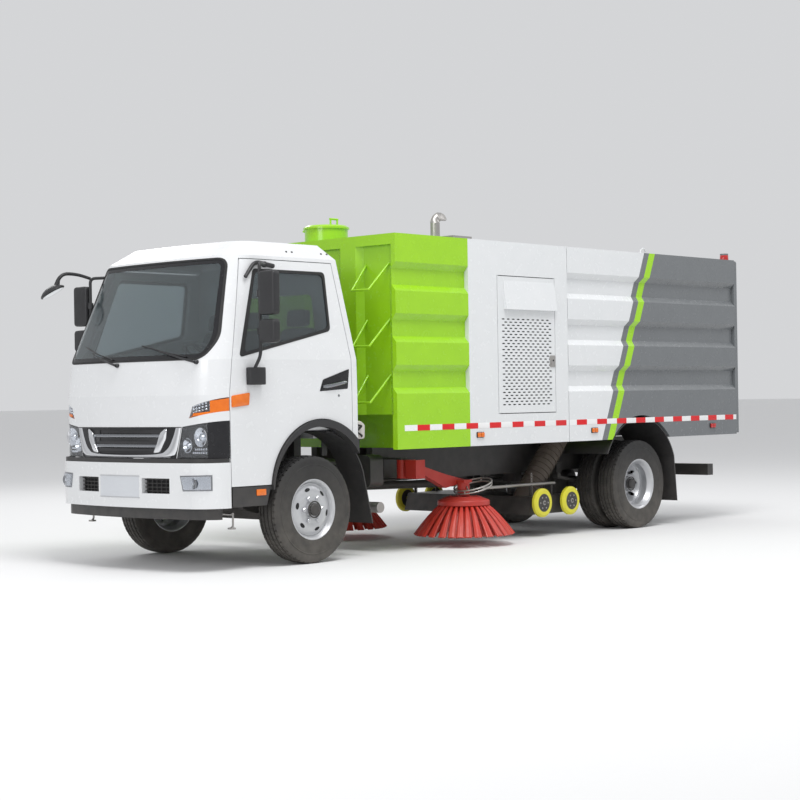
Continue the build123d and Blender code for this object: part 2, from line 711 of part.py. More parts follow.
# Tailgate: panel with a rolled top edge, upright stiffeners and latch bars
gate_half_width = 1166
gate_bottom = 1006
gate_bar_width = 70
gate_bar_count = 5
gate_slot_half = tailgate_lug_half + body_gap
with BuildPart() as tailgate:
    gate_face = behind(hopper_rear + body_gap)
    slab((gate_face - gate_wall, -gate_half_width, gate_bottom),
         (gate_face, gate_half_width, gate_axis_z))
    side_disc(gate_axis_x, gate_axis_z, gate_wall / 2, -gate_half_width, gate_half_width)
    for step in range(gate_bar_count):
        middle = -gate_half_width + gate_bar_width + step * 2 * (
            gate_half_width - gate_bar_width) / (gate_bar_count - 1)
        slab((gate_face - gate_wall - gate_handle, middle - gate_bar_width / 2, gate_bottom),
             (gate_face - gate_wall, middle + gate_bar_width / 2, gate_axis_z - gate_wall))
    for side in (1, -1):
        low_y, high_y = sorted((side * (tailgate_lug_y - gate_slot_half),
                                side * (tailgate_lug_y + gate_slot_half)))
        slab((gate_face - gate_wall - overrun, low_y, gate_axis_z - gate_wall),
             (gate_face + overrun, high_y, gate_axis_z + overrun), mode=Mode.SUBTRACT)
        side_disc(gate_axis_x, gate_axis_z, tailgate_pin_radius + pin_gap,
                  low_y - tailgate_lug_half, high_y + tailgate_lug_half, mode=Mode.SUBTRACT)
finish(tailgate, "tailgate")

# Tipping cylinder: barrel on the frame's foot pin, rod eye between the hopper's lugs
barrel_radius = 52
barrel_half_eye = 44
rod_radius = 34
barrel_length = 1040
rod_start = 160
foot_point = (behind(cylinder_foot_x), 0, cylinder_foot_z)
eye_point = (behind(rod_eye_back), 0, rod_eye_z)
reach = Vector(*eye_point) - Vector(*foot_point)
along = reach.normalized()


def on_cylinder(distance):
    """Point on the cylinder's line, measured from the foot pin."""
    point = Vector(*foot_point) + along * distance
    return (point.X, point.Y, point.Z)


with BuildPart() as tip_barrel:
    side_disc(foot_point[0], foot_point[2], cylinder_ear_radius, -barrel_half_eye, barrel_half_eye)
    bar(foot_point, on_cylinder(barrel_length), barrel_radius)
    bar(on_cylinder(rod_start), on_cylinder(barrel_length + overrun), rod_radius + pin_gap,
        mode=Mode.SUBTRACT)
    side_disc(foot_point[0], foot_point[2], cylinder_pin_radius + pin_gap, -barrel_radius - overrun,
              barrel_radius + overrun, mode=Mode.SUBTRACT)
finish(tip_barrel, "tip_barrel")

with BuildPart() as tip_rod:
    bar(on_cylinder(rod_start + body_gap), on_cylinder(reach.length - cylinder_pin_radius), rod_radius)
    side_disc(eye_point[0], eye_point[2], cylinder_ear_radius, -barrel_half_eye, barrel_half_eye)
    side_disc(eye_point[0], eye_point[2], cylinder_pin_radius, -eye_lug_half + pin_gap,
              eye_lug_half - pin_gap)
finish(tip_rod, "tip_rod")

# Rear mudguards: arched strips over the twins with hanging flaps and their frame stays
guard_inner_y = 560
guard_front_z = 838
guard_outer_y = 1165
guard_stay_radius = 16
flap_bottom = 272
flap_back = 5640
flap_wall = 12
guard_end_z = 780


def guard_point(radius, height):
    """Back place of the guard's circle at a height, behind its middle."""
    return behind(guard_back) - sqrt(radius ** 2 - (height - guard_z) ** 2)


with BuildPart() as rear_mudguards:
    for side in (1, -1):
        low_y, high_y = sorted((side * guard_inner_y, side * guard_outer_y))
        side_disc(behind(guard_back), guard_z, guard_radius, low_y, high_y)
        side_disc(behind(guard_back), guard_z, guard_radius - guard_wall, low_y, high_y,
                  mode=Mode.SUBTRACT)
    slab((behind(guard_back + guard_radius) - overrun, -guard_outer_y - overrun,
          guard_z - guard_radius - overrun),
         (behind(guard_back), guard_outer_y + overrun, guard_end_z), mode=Mode.SUBTRACT)
    slab((behind(guard_back), -guard_outer_y - overrun, guard_z - guard_radius - overrun),
         (behind(guard_back - guard_radius) + overrun, guard_outer_y + overrun, guard_front_z),
         mode=Mode.SUBTRACT)
    for side in (1, -1):
        low_y, high_y = sorted((side * guard_inner_y, side * guard_outer_y))
        outer_x = guard_point(guard_radius, guard_end_z)
        inner_x = guard_point(guard_radius - guard_wall, guard_end_z)
        side_prism(((outer_x, guard_end_z), (inner_x, guard_end_z),
                    (behind(flap_back - flap_wall), flap_bottom), (behind(flap_back), flap_bottom)),
                   low_y, high_y)
        stay_z = guard_end_z + guard_stay_radius
        stay_x = guard_point(guard_radius - guard_wall / 2, stay_z)
        bar((stay_x, side * rail_half_width, stay_z), (stay_x, side * guard_inner_y, stay_z),
            guard_stay_radius)
        front_x = 2 * behind(guard_back) - guard_point(guard_radius - guard_wall / 2, guard_front_z)
        bar((front_x, side * rail_half_width, guard_front_z + guard_stay_radius),
            (front_x, side * guard_inner_y, guard_front_z + guard_stay_radius), guard_stay_radius)
finish(rear_mudguards, "rear_mudguards")

# Rear bumper: under-run beam on two drop arms with lamp boxes
beam_back = 6560
beam_depth = 110
beam_low = 520
beam_high = 650
beam_half_width = 1040
arm_y = 380
arm_wall = 40
lamp_width = 360
lamp_depth = 58
lamp_inset = 40
jaw_reach = 90
jaw_half_width = 62
jaw_plate = 16
jaw_low = 557
jaw_high = 633
jaw_pin_inset = 55
jaw_pin_radius = 19
rail_end = behind(rail_rear)
with BuildPart() as rear_bumper:
    slab((behind(beam_back), -beam_half_width, beam_low),
         (behind(beam_back - beam_depth), beam_half_width, beam_high))
    for side in (1, -1):
        low_y, high_y = sorted((side * (arm_y - arm_wall / 2), side * (arm_y + arm_wall / 2)))
        side_prism(((rail_end, rail_bottom), (rail_end + beam_depth, rail_bottom),
                    (behind(beam_back - beam_depth), beam_high), (behind(beam_back), beam_high)),
                   low_y, high_y)
        low_y, high_y = sorted((side * (beam_half_width - lamp_inset),
                                side * (beam_half_width - lamp_inset - lamp_width)))
        slab((behind(beam_back + lamp_depth), low_y, beam_low + lamp_inset / 2),
             (behind(beam_back), high_y, beam_high - lamp_inset / 2))
    # tow jaw: two plates with an upright pin hole
    for low in (jaw_low, jaw_high - jaw_plate):
        slab((behind(beam_back + jaw_reach), -jaw_half_width, low),
             (behind(beam_back), jaw_half_width, low + jaw_plate))
    bar((behind(beam_back + jaw_pin_inset), 0, beam_low), (behind(beam_back + jaw_pin_inset), 0, beam_high),
        jaw_pin_radius, mode=Mode.SUBTRACT)
finish(rear_bumper, "rear_bumper")

# Tyres and wheels
tyre_bead = 24
sidewall_share = 0.55


def tyre_profile(middle):
    """Section of one tyre as places across the width and radii."""
    half = tyre_width / 2
    bead = tyre_width / 2 - tyre_bead
    wide = rim_radius + (tyre_radius - rim_radius) * sidewall_share
    flange = rim_radius + rim_flange + pin_gap
    return (
        (middle - bead, rim_radius), (middle - bead, flange), (middle - half, wide),
        (middle - half + tread_crown, tyre_radius - tyre_shoulder),
        (middle - half + tyre_shoulder, tyre_radius - tread_crown / 2), (middle, tyre_radius),
        (middle + half - tyre_shoulder, tyre_radius - tread_crown / 2),
        (middle + half - tread_crown, tyre_radius - tyre_shoulder), (middle + half, wide),
        (middle + bead, flange), (middle + bead, rim_radius),
    )


well_radius = 228
rim_wall = 14
disc_wall = 16
hub_radius = 82
hub_length = 96
disc_radius = 205
vent_count = 8
vent_radius = 22
vent_circle = 168
stud_count = 6
stud_circle = 111
stud_radius = 15
stud_length = 26
disc_offset = 92
twin_dish = 98
front_spindle_radius = 34


def rim_profile(middle):
    """Section of the rim: flanges at both beads and a drop well between."""
    half = tyre_width / 2 - tyre_bead
    return (
        (middle - half - rim_wall, rim_radius), (middle - half - rim_wall, rim_radius + rim_flange),
        (middle - half, rim_radius + rim_flange), (middle - half, rim_radius),
        (middle + half, rim_radius), (middle + half, rim_radius + rim_flange),
        (middle + half + rim_wall, rim_radius + rim_flange), (middle + half + rim_wall, rim_radius),
        (middle + half, rim_radius - rim_wall), (middle + half / 2, well_radius),
        (middle - half / 2, well_radius), (middle - half, rim_radius - rim_wall),
    )


def wheel_disc(axle_x, face_y, side, inward):
    """Dished disc with hand holes and studs, its middle at face_y."""
    rise = side * inward
    lathe(((face_y, front_spindle_radius + pin_gap), (face_y, stud_circle + stud_radius * 2),
           (face_y - rise, disc_radius), (face_y - rise, well_radius + rim_wall / 2),
           (face_y - rise - side * disc_wall, well_radius + rim_wall / 2),
           (face_y - rise - side * disc_wall, disc_radius),
           (face_y - side * disc_wall, stud_circle + stud_radius * 2),
           (face_y - side * disc_wall, front_spindle_radius + pin_gap)), axle_x, axle_z)
    for step in range(vent_count):
        turn = 2 * pi * step / vent_count
        centre = (axle_x + vent_circle * cos(turn), axle_z + vent_circle * sin(turn))
        reach = overrun + abs(inward)
        low_y, high_y = sorted((face_y + side * reach, face_y - side * reach))
        side_disc(centre[0], centre[1], vent_radius, low_y, high_y, mode=Mode.SUBTRACT)
    for step in range(stud_count):
        turn = 2 * pi * step / stud_count
        centre = (axle_x + stud_circle * cos(turn), axle_z + stud_circle * sin(turn))
        low_y, high_y = sorted((face_y - side * disc_wall, face_y + side * stud_length))
        side_disc(centre[0], centre[1], stud_radius, low_y, high_y)


for hand, side in (("left", 1), ("right", -1)):
    middle = side * front_wheel_y
    with BuildPart() as front_tyre:
        lathe(tyre_profile(middle), front_axle_x, axle_z)
    finish(front_tyre, f"front_tyre_{hand}")
    with BuildPart() as front_wheel:
        face_y = side * (front_wheel_y + disc_offset)
        lathe(rim_profile(middle), front_axle_x, axle_z)
        wheel_disc(front_axle_x, face_y, side, stud_length)
        hub_start = face_y - side * hub_length
        low_y, high_y = sorted((hub_start, face_y + side * stud_length))
        side_disc(front_axle_x, axle_z, hub_radius, low_y, high_y)
        low_y, high_y = sorted((hub_start - side * overrun, face_y))
        side_disc(front_axle_x, axle_z, front_spindle_radius + pin_gap, low_y, high_y,
                  mode=Mode.SUBTRACT)
    finish(front_wheel, f"front_wheel_{hand}")
    with BuildPart() as rear_tyres:
        for middle in (side * rear_wheel_y, side * twin_inner_y):
            lathe(tyre_profile(middle), rear_axle_x, axle_z)
    finish(rear_tyres, f"rear_tyres_{hand}")
    with BuildPart() as rear_wheels:
        for middle in (side * rear_wheel_y, side * twin_inner_y):
            lathe(rim_profile(middle), rear_axle_x, axle_z)
        join_y = side * (rear_wheel_y + twin_inner_y) / 2
        wheel_disc(rear_axle_x, join_y + side * disc_wall, side, -twin_dish)
        bend_radius = stud_circle + stud_radius * 2
        dish_y = join_y - side * twin_dish
        lathe(((join_y, hub_radius), (join_y, bend_radius), (dish_y, disc_radius),
               (dish_y, well_radius + rim_wall / 2), (dish_y - side * disc_wall, well_radius + rim_wall / 2),
               (dish_y - side * disc_wall, disc_radius), (join_y - side * disc_wall, bend_radius),
               (join_y - side * disc_wall, hub_radius)), rear_axle_x, axle_z)
        low_y, high_y = sorted((join_y - side * hub_length, join_y + side * (hub_length + stud_length)))
        side_disc(rear_axle_x, axle_z, hub_radius, low_y, high_y)
        low_y, high_y = sorted((join_y - side * (hub_length + overrun), side * (stub_end + stud_length)))
        side_disc(rear_axle_x, axle_z, spindle_radius + pin_gap, low_y, high_y, mode=Mode.SUBTRACT)
    finish(rear_wheels, f"rear_wheels_{hand}")

    # Steering knuckle: forked boss on the kingpin with the wheel spindle
    with BuildPart() as knuckle:
        fork_low = axle_z - kingpin_half
        fork_high = axle_z + kingpin_half
        for low, high in ((fork_low, axle_z - eye_half - body_gap / 2),
                          (axle_z + eye_half + body_gap / 2, fork_high)):
            bar((front_axle_x, side * kingpin_y, low), (front_axle_x, side * kingpin_y, high),
                kingpin_radius * 2)
        plate_y = side * (kingpin_y + beam_width / 2 + body_gap)
        low_y, high_y = sorted((plate_y, plate_y + side * disc_wall))
        slab((front_axle_x - kingpin_radius * 2, low_y, fork_low),
             (front_axle_x + kingpin_radius * 2, high_y, fork_high))
        for low, high in ((fork_low, axle_z - eye_half - body_gap / 2),
                          (axle_z + eye_half + body_gap / 2, fork_high)):
            low_y, high_y = sorted((side * kingpin_y, plate_y + side * disc_wall))
            slab((front_axle_x - kingpin_radius * 2, low_y, low),
                 (front_axle_x + kingpin_radius * 2, high_y, high))
        bar((front_axle_x, side * kingpin_y, fork_low - overrun),
            (front_axle_x, side * kingpin_y, fork_high + overrun), kingpin_radius + pin_gap,
            mode=Mode.SUBTRACT)
        low_y, high_y = sorted((plate_y, side * (front_wheel_y + disc_offset - body_gap / 2)))
        side_disc(front_axle_x, axle_z, front_spindle_radius, low_y, high_y)
    finish(knuckle, f"knuckle_{hand}")


# Cab form: levels of a bowed plan outline joined by ruled faces
cab_height = 2900
cab_bottom = 734
# each level: height share of the cab's height, then nose, shoulder and corner as shares of the cab's
# front, shoulder width and half width as shares of its half width, back as a share of its rear
cab_level_shares = (
    (0.2531, 0.996, 0.932, 0.729, 0.790, 1.000, 1.000),
    (0.5276, 1.000, 0.937, 0.729, 0.790, 1.000, 1.000),
    (0.6328, 0.976, 0.914, 0.706, 0.783, 0.994, 1.000),
    (0.9517, 0.663, 0.620, 0.439, 0.700, 0.871, 0.800),
    (1.0000, 0.480, 0.450, 0.300, 0.600, 0.740, 0.640),
)


def cab_form(inset, mode=Mode.ADD):
    """Solid of the cab's outside drawn in by inset, with a longer reach below when drawn in."""
    levels = []
    for row, shares in enumerate(cab_level_shares):
        height_share, nose_share, shoulder_share, corner_share, width_share, half_share, back_share = shares
        height = height_share * cab_height
        if inset > 0 and row == 0:
            height = height - overrun
        if row == len(cab_level_shares) - 1:
            height = height - inset
        with BuildSketch(Plane.XY.offset(height)) as level:
            bowed(ahead(nose_share * cab_front - inset), ahead(shoulder_share * cab_front - inset),
                  width_share * cab_half_width - inset / 2, ahead(corner_share * cab_front - inset / 2),
                  half_share * cab_half_width - inset, behind(back_share * cab_rear - inset))
        levels.append(level.sketch)
    loft(levels, ruled=True, mode=mode)


def cab_side(height):
    """Half width of the cab's straight side at a height."""
    rows = [(row[0] * cab_height, row[5] * cab_half_width) for row in cab_level_shares]
    for (low, low_half), (high, high_half) in zip(rows[:-1], rows[1:]):
        if height <= high:
            return low_half + (high_half - low_half) * (height - low) / (high - low)
    return rows[-1][1]


# Windscreen and rear window outlines seen from the front
screen_low = 1842
screen_mid = 2010
screen_high = 2728
screen_low_half = 930
screen_mid_half = 992
screen_high_half = 848
screen_corner = 70
screen_back = 300
rear_window_half = 640
rear_window_low = 1930
rear_window_high = 2460
rear_window_corner = 60
screen_outline = ((screen_low_half, screen_low), (screen_mid_half, screen_mid),
                  (screen_high_half, screen_high), (-screen_high_half, screen_high),
                  (-screen_mid_half, screen_mid), (-screen_low_half, screen_low))
rear_outline = ((rear_window_half, rear_window_low), (rear_window_half, rear_window_high),
                (-rear_window_half, rear_window_high), (-rear_window_half, rear_window_low))
rear_wall_depth = 200

# Door outline seen from the side; the wheel arch is cut from it afterwards
door_waist_front = 968
door_waist = 1530
door_belt_front = 930
door_top_front = 690
door_top_rear = 405
door_shoulder = 1850
door_edge_step = 20
door_deep = 560
window_front_low = 850
window_front_high = 572
window_rear_low = 300
window_rear_high = 308
window_low_front = 1850
window_low_rear = 2100
window_high = 2640
window_corner = 42


def door_outline(grow):
    """Door's edge seen from the side, drawn out by grow on every side."""
    return ((ahead(door_front + grow), door_bottom - grow), (ahead(door_waist_front + grow), door_waist),
            (ahead(door_belt_front + grow), belt_height), (ahead(door_top_front + grow), door_top + grow),
            (behind(door_top_rear + grow), door_top + grow), (behind(door_rear + grow), door_shoulder),
            (behind(door_rear + grow), door_bottom - grow))


window_outline = ((ahead(window_front_low), window_low_front), (ahead(window_front_high), window_high),
                  (behind(window_rear_high), window_high), (behind(window_rear_low), window_low_rear))

# Lamp and grille outlines seen from the front, as half widths and heights
lamp_inner_low = 668
lamp_inner_high = 735
lamp_outer = 1160
lamp_low = 985
lamp_high = 1258
lamp_high_outer = 1318
turn_inner_low = 812
turn_inner_high = 850
turn_low = 1330
turn_high = 1432
turn_low_outer = 1408
turn_high_outer = 1535
turn_depth = 30
lamp_outline = ((lamp_inner_low, lamp_low), (lamp_inner_high, lamp_high),
                (lamp_outer, lamp_high_outer), (lamp_outer, lamp_low))
turn_outline = ((turn_inner_low, turn_low), (turn_inner_high, turn_high),
                (lamp_outer, turn_high_outer), (lamp_outer, turn_low_outer))
grille_low_half = 405
grille_high_half = 575
grille_bottom = 992
grille_top = 1246
grille_frame = 26
grille_depth = 46
grille_bar_count = 3
grille_bar_height = 26
rear_lip = 1110
lug_top = cab_floor - cab_floor_thickness / 2
floor_half_width = cab_half_width - cab_wall - body_gap * 2
grille_outline = ((grille_low_half, grille_bottom), (grille_high_half, grille_top),
                  (-grille_high_half, grille_top), (-grille_low_half, grille_bottom))


def mirrored(outline, side):
    """Front outline carried to one side of the cab."""
    return [(side * y, z) for y, z in outline]


with BuildPart() as cab_floor_plate:
    cab_form(cab_wall)
    slab((behind(cab_rear), -cab_half_width, cab_floor - cab_floor_thickness),
         (ahead(cab_front), cab_half_width, cab_floor), mode=Mode.INTERSECT)
    for side in (1, -1):
        low_y, high_y = sorted((side * floor_half_width, side * cab_half_width))
        slab((behind(door_rear + door_gap), low_y, cab_floor - cab_floor_thickness - overrun),
             (ahead(door_waist_front + door_gap), high_y, cab_floor + overrun), mode=Mode.SUBTRACT)

with BuildPart() as cab_shell:
    cab_form(0)
    cab_form(cab_wall, mode=Mode.SUBTRACT)
    for side in (1, -1):
        low_y, high_y = sorted((side * door_deep, side * (cab_half_width + overrun)))
        side_prism(door_outline(door_gap), low_y, high_y, mode=Mode.SUBTRACT)
        side_disc(behind(arch_back), arch_height, arch_radius + door_gap, low_y, high_y,
                  mode=Mode.SUBTRACT)
        for outline in (lamp_outline, turn_outline):
            cross_prism(mirrored(outline, side), ahead(door_belt_front), ahead(cab_front + overrun),
                        mode=Mode.SUBTRACT)
    cross_prism(screen_outline, ahead(screen_back), ahead(cab_front + overrun), mode=Mode.SUBTRACT,
                corner=screen_corner)
    cross_prism(rear_outline, behind(cab_rear + overrun), behind(cab_rear - rear_wall_depth),
                mode=Mode.SUBTRACT, corner=rear_window_corner)
    cross_prism(grille_outline, ahead(cab_front - cab_wall * 2), ahead(cab_front + overrun),
                mode=Mode.SUBTRACT)
    # lower edges: the front panel's lip, and the rear wall's edge above the chassis
    slab((ahead(0), -cab_half_width - overrun, cab_bottom - overrun * 2),
         (ahead(cab_front + overrun), cab_half_width + overrun, cab_lip), mode=Mode.SUBTRACT)
    slab((behind(cab_rear + overrun), -cab_half_width - overrun, cab_bottom - overrun * 2),
         (ahead(0), cab_half_width + overrun, rear_lip), mode=Mode.SUBTRACT)
    add(cab_floor_plate.part)
    for side in (1, -1):
        low_y, high_y = sorted((side * (pivot_lug_y - pivot_lug_width / 2),
                                side * (pivot_lug_y + pivot_lug_width / 2)))
        slab((ahead(cab_tilt_x - pivot_lug_radius), low_y, cab_tilt_z),
             (ahead(cab_tilt_x + pivot_lug_radius), high_y, lug_top))
        side_disc(ahead(cab_tilt_x), cab_tilt_z, pivot_lug_radius, low_y, high_y)
        side_disc(ahead(cab_tilt_x), cab_tilt_z, pivot_pin_radius + pin_gap, low_y - overrun,
                  high_y + overrun, mode=Mode.SUBTRACT)
finish(cab_shell, "cab_shell")

with BuildPart() as screen_glass:
    cab_form(cab_glass_inset)
    cab_form(cab_glass_inset + cab_glass_thickness, mode=Mode.SUBTRACT)
    cross_prism(screen_outline, ahead(screen_back), ahead(cab_front + overrun), mode=Mode.INTERSECT,
                corner=screen_corner)
with BuildPart() as cab_glass:
    cab_form(cab_glass_inset)
    cab_form(cab_glass_inset + cab_glass_thickness, mode=Mode.SUBTRACT)
    cross_prism(rear_outline, behind(cab_rear + overrun), behind(cab_rear - rear_wall_depth),
                mode=Mode.INTERSECT, corner=rear_window_corner)
    add(screen_glass.part)
finish(cab_glass, "cab_glass")

# Head lamps and corner lamps, cut from the cab's own form
lamp_bodies = []
for side in (1, -1):
    for outline, depth in ((lamp_outline, cab_wall), (turn_outline, turn_depth)):
        with BuildPart() as lamp:
            cab_form(0)
            cab_form(depth, mode=Mode.SUBTRACT)
            cross_prism(mirrored(outline, side), ahead(door_front + door_gap * 2),
                        ahead(cab_front + overrun), mode=Mode.INTERSECT)
        lamp_bodies.append(lamp.part)
with BuildPart() as head_lamps:
    for lamp_body in lamp_bodies:
        add(lamp_body)
finish(head_lamps, "head_lamps")

# Grille: trapezoid frame with level bars and a backing plate behind them
bar_pitch = (grille_top - grille_bottom) / (grille_bar_count + 1)
with BuildPart() as cab_grille:
    cab_form(grille_frame / 2)
    cab_form(grille_depth, mode=Mode.SUBTRACT)
    cross_prism(grille_outline, ahead(cab_front - cab_wall * 2), ahead(cab_front + overrun),
                mode=Mode.INTERSECT)
    for step in range(grille_bar_count + 1):
        low = grille_bottom + grille_frame / 2 + step * bar_pitch
        high = low + bar_pitch - grille_bar_height
        half = grille_low_half - grille_frame
        slab((ahead(cab_front - grille_depth + rail_wall), -half, low),
             (ahead(cab_front + overrun), half, high), mode=Mode.SUBTRACT)
finish(cab_grille, "cab_grille")

# Seats on the cab floor: cushions and backs in a row
seat_length_run = 470
seat_back_lean = 90
seat_base_height = 210
cushion_height = 130
back_height = 560
back_thickness = 120
seat_rear_gap = 112
seat_half_width = 240
head_rest_height = 170
head_rest_half = 130
# middle of each seat across the cab as shares of the half width
seat_middle_shares = (0.52, 0.0, -0.50)
seat_back_x = behind(cab_rear - cab_wall - seat_rear_gap)
with BuildPart() as cab_seats:
    for middle_share in seat_middle_shares:
        middle = middle_share * cab_half_width
        base_top = cab_floor + seat_base_height
        side_prism(((seat_back_x, cab_floor), (seat_back_x + seat_length_run, cab_floor),
                    (seat_back_x + seat_length_run + seat_back_lean, base_top),
                    (seat_back_x + seat_length_run + seat_back_lean, base_top + cushion_height),
                    (seat_back_x + seat_back_lean + back_thickness, base_top + cushion_height),
                    (seat_back_x + back_thickness, base_top + cushion_height + back_height),
                    (seat_back_x, base_top + cushion_height + back_height), (seat_back_x, cab_floor)),
                   middle - seat_half_width, middle + seat_half_width)
        slab((seat_back_x, middle - head_rest_half, base_top + cushion_height + back_height),
             (seat_back_x + back_thickness, middle + head_rest_half,
              base_top + cushion_height + back_height + head_rest_height))
finish(cab_seats, "cab_seats")

# Dashboard across the cab with the steering wheel on its column
dash_half_width = 985
dash_depth = 300
dash_low = 1480
dash_high = 1830
dash_front_gap = 14
wheel_y = 560
wheel_rim_radius = 215
wheel_tube = 15
wheel_lean = 250
wheel_drop = 40
column_radius = 34
dash_front = cab_front - cab_wall - dash_front_gap
dash_rear = ahead(dash_front - dash_depth)
column_top = (dash_rear - wheel_lean / 2, wheel_y, dash_high + wheel_drop)
column_foot = (dash_rear + column_radius * 2, wheel_y, dash_low + wheel_drop)
with BuildPart() as dashboard:
    cab_form(cab_wall + dash_front_gap)
    slab((dash_rear, -dash_half_width, dash_low), (ahead(cab_front), dash_half_width, dash_high),
         mode=Mode.INTERSECT)
    slab((dash_rear + dash_depth / 2, -dash_half_width / 2, cab_floor),
         (dash_rear + dash_depth / 2 + rail_flange, dash_half_width / 2, dash_low))
    bar(column_foot, column_top, column_radius)
    column_line = Vector(*column_top) - Vector(*column_foot)
    with BuildSketch(Plane(origin=column_top, z_dir=column_line)) as rim_ring:
        Circle(wheel_rim_radius + wheel_tube)
        Circle(wheel_rim_radius - wheel_tube, mode=Mode.SUBTRACT)
        Rectangle(wheel_tube * 2, wheel_rim_radius * 2)
        Rectangle(wheel_rim_radius * 2, wheel_tube * 2)
    extrude(rim_ring.sketch, amount=wheel_tube * 2)
finish(dashboard, "dashboard")

# Sills, steps and wheel-arch flares that ride with the cab
sill_top = 726
sill_front = 955
sill_rear_high = 508
sill_rear_low = 558
sill_inner_y = 800
step_wall = 26
flare_reach = 1112
flare_inner_y = 1030
flare_drop = 28
flare_shift = 25
flare_inner_radius = 585
flare_end_back = 585
flare_start_z = 690
flare_foot_front = 480
hinge_rise = 26
door_pin_radius = 7
door_pin_back = 47
door_pin_depth = 16
with BuildPart() as cab_arches:
    for side in (1, -1):
        low_y, high_y = sorted((side * sill_inner_y, side * cab_half_width))
        side_prism(((ahead(sill_front), sill_bottom), (ahead(sill_front), sill_top),
                    (ahead(sill_rear_high), sill_top), (ahead(sill_rear_low), sill_bottom)), low_y, high_y)
        # step web from the sill up to the cab floor
        low_y, high_y = sorted((side * sill_inner_y, side * (sill_inner_y + step_wall)))
        slab((ahead(sill_rear_high + step_wall), low_y, sill_top),
             (ahead(sill_front - step_wall), high_y, cab_floor - cab_floor_thickness))
        low_y, high_y = sorted((side * flare_inner_y, side * flare_reach))
        side_disc(behind(arch_back), arch_height, arch_radius, low_y, high_y)
    for side in (1, -1):
        low_y, high_y = sorted((side * flare_inner_y, side * flare_reach))
        side_disc(behind(arch_back - flare_shift), arch_height - flare_drop, flare_inner_radius,
                  low_y - overrun, high_y + overrun, mode=Mode.SUBTRACT)
    slab((behind(arch_back + arch_radius + overrun), -flare_reach - overrun, 0),
         (behind(flare_end_back), flare_reach + overrun, cab_height), mode=Mode.SUBTRACT)
    for side in (1, -1):
        low_y, high_y = sorted((side * (flare_inner_y - overrun), side * (flare_reach + overrun)))
        slab((behind(flare_end_back), low_y, 0), (ahead(sill_rear_high), high_y, flare_start_z),
             mode=Mode.SUBTRACT)
        slab((behind(flare_end_back), low_y, 0), (behind(0), high_y, arch_height + flare_width),
             mode=Mode.SUBTRACT)
        # foot that joins the flare to the sill
        low_y, high_y = sorted((side * flare_inner_y, side * cab_half_width))
        slab((ahead(flare_foot_front), low_y, flare_start_z),
             (ahead(sill_rear_high + step_wall), high_y, sill_top))
        pin_at = (ahead(door_front - door_pin_back), side * (cab_half_width - door_pin_depth))
        bar((*pin_at, sill_top), (*pin_at, sill_top + hinge_rise), door_pin_radius)
finish(cab_arches, "cab_arches")

# Doors: outer skin to the door's full edge, inner frame stepped in from it
for hand, side in (("left", 1), ("right", -1)):
    low_y, high_y = sorted((side * door_deep, side * (cab_half_width + overrun)))
    with BuildPart() as inner_frame:
        cab_form(cab_skin)
        cab_form(cab_wall, mode=Mode.SUBTRACT)
        side_prism(door_outline(-door_edge_step), low_y, high_y, mode=Mode.INTERSECT)
    with BuildPart() as door:
        cab_form(0)
        cab_form(cab_skin, mode=Mode.SUBTRACT)
        side_prism(door_outline(0), low_y, high_y, mode=Mode.INTERSECT)
        add(inner_frame.part)
        side_disc(behind(arch_back), arch_height, arch_radius + door_gap, low_y, high_y,
                  mode=Mode.SUBTRACT)
        side_prism(window_outline, low_y, high_y, mode=Mode.SUBTRACT, corner=window_corner)
        pin_at = (ahead(door_front - door_pin_back), side * (cab_half_width - door_pin_depth))
        bar((*pin_at, sill_top), (*pin_at, sill_top + hinge_rise + door_gap), door_pin_radius + pin_gap,
            mode=Mode.SUBTRACT)
    finish(door, f"door_{hand}")
    with BuildPart() as door_glass:
        cab_form(cab_glass_inset * 2)
        cab_form(cab_glass_inset * 2 + cab_glass_thickness, mode=Mode.SUBTRACT)
        side_prism(window_outline, low_y, high_y, mode=Mode.INTERSECT, corner=window_corner)
    finish(door_glass, f"door_glass_{hand}")

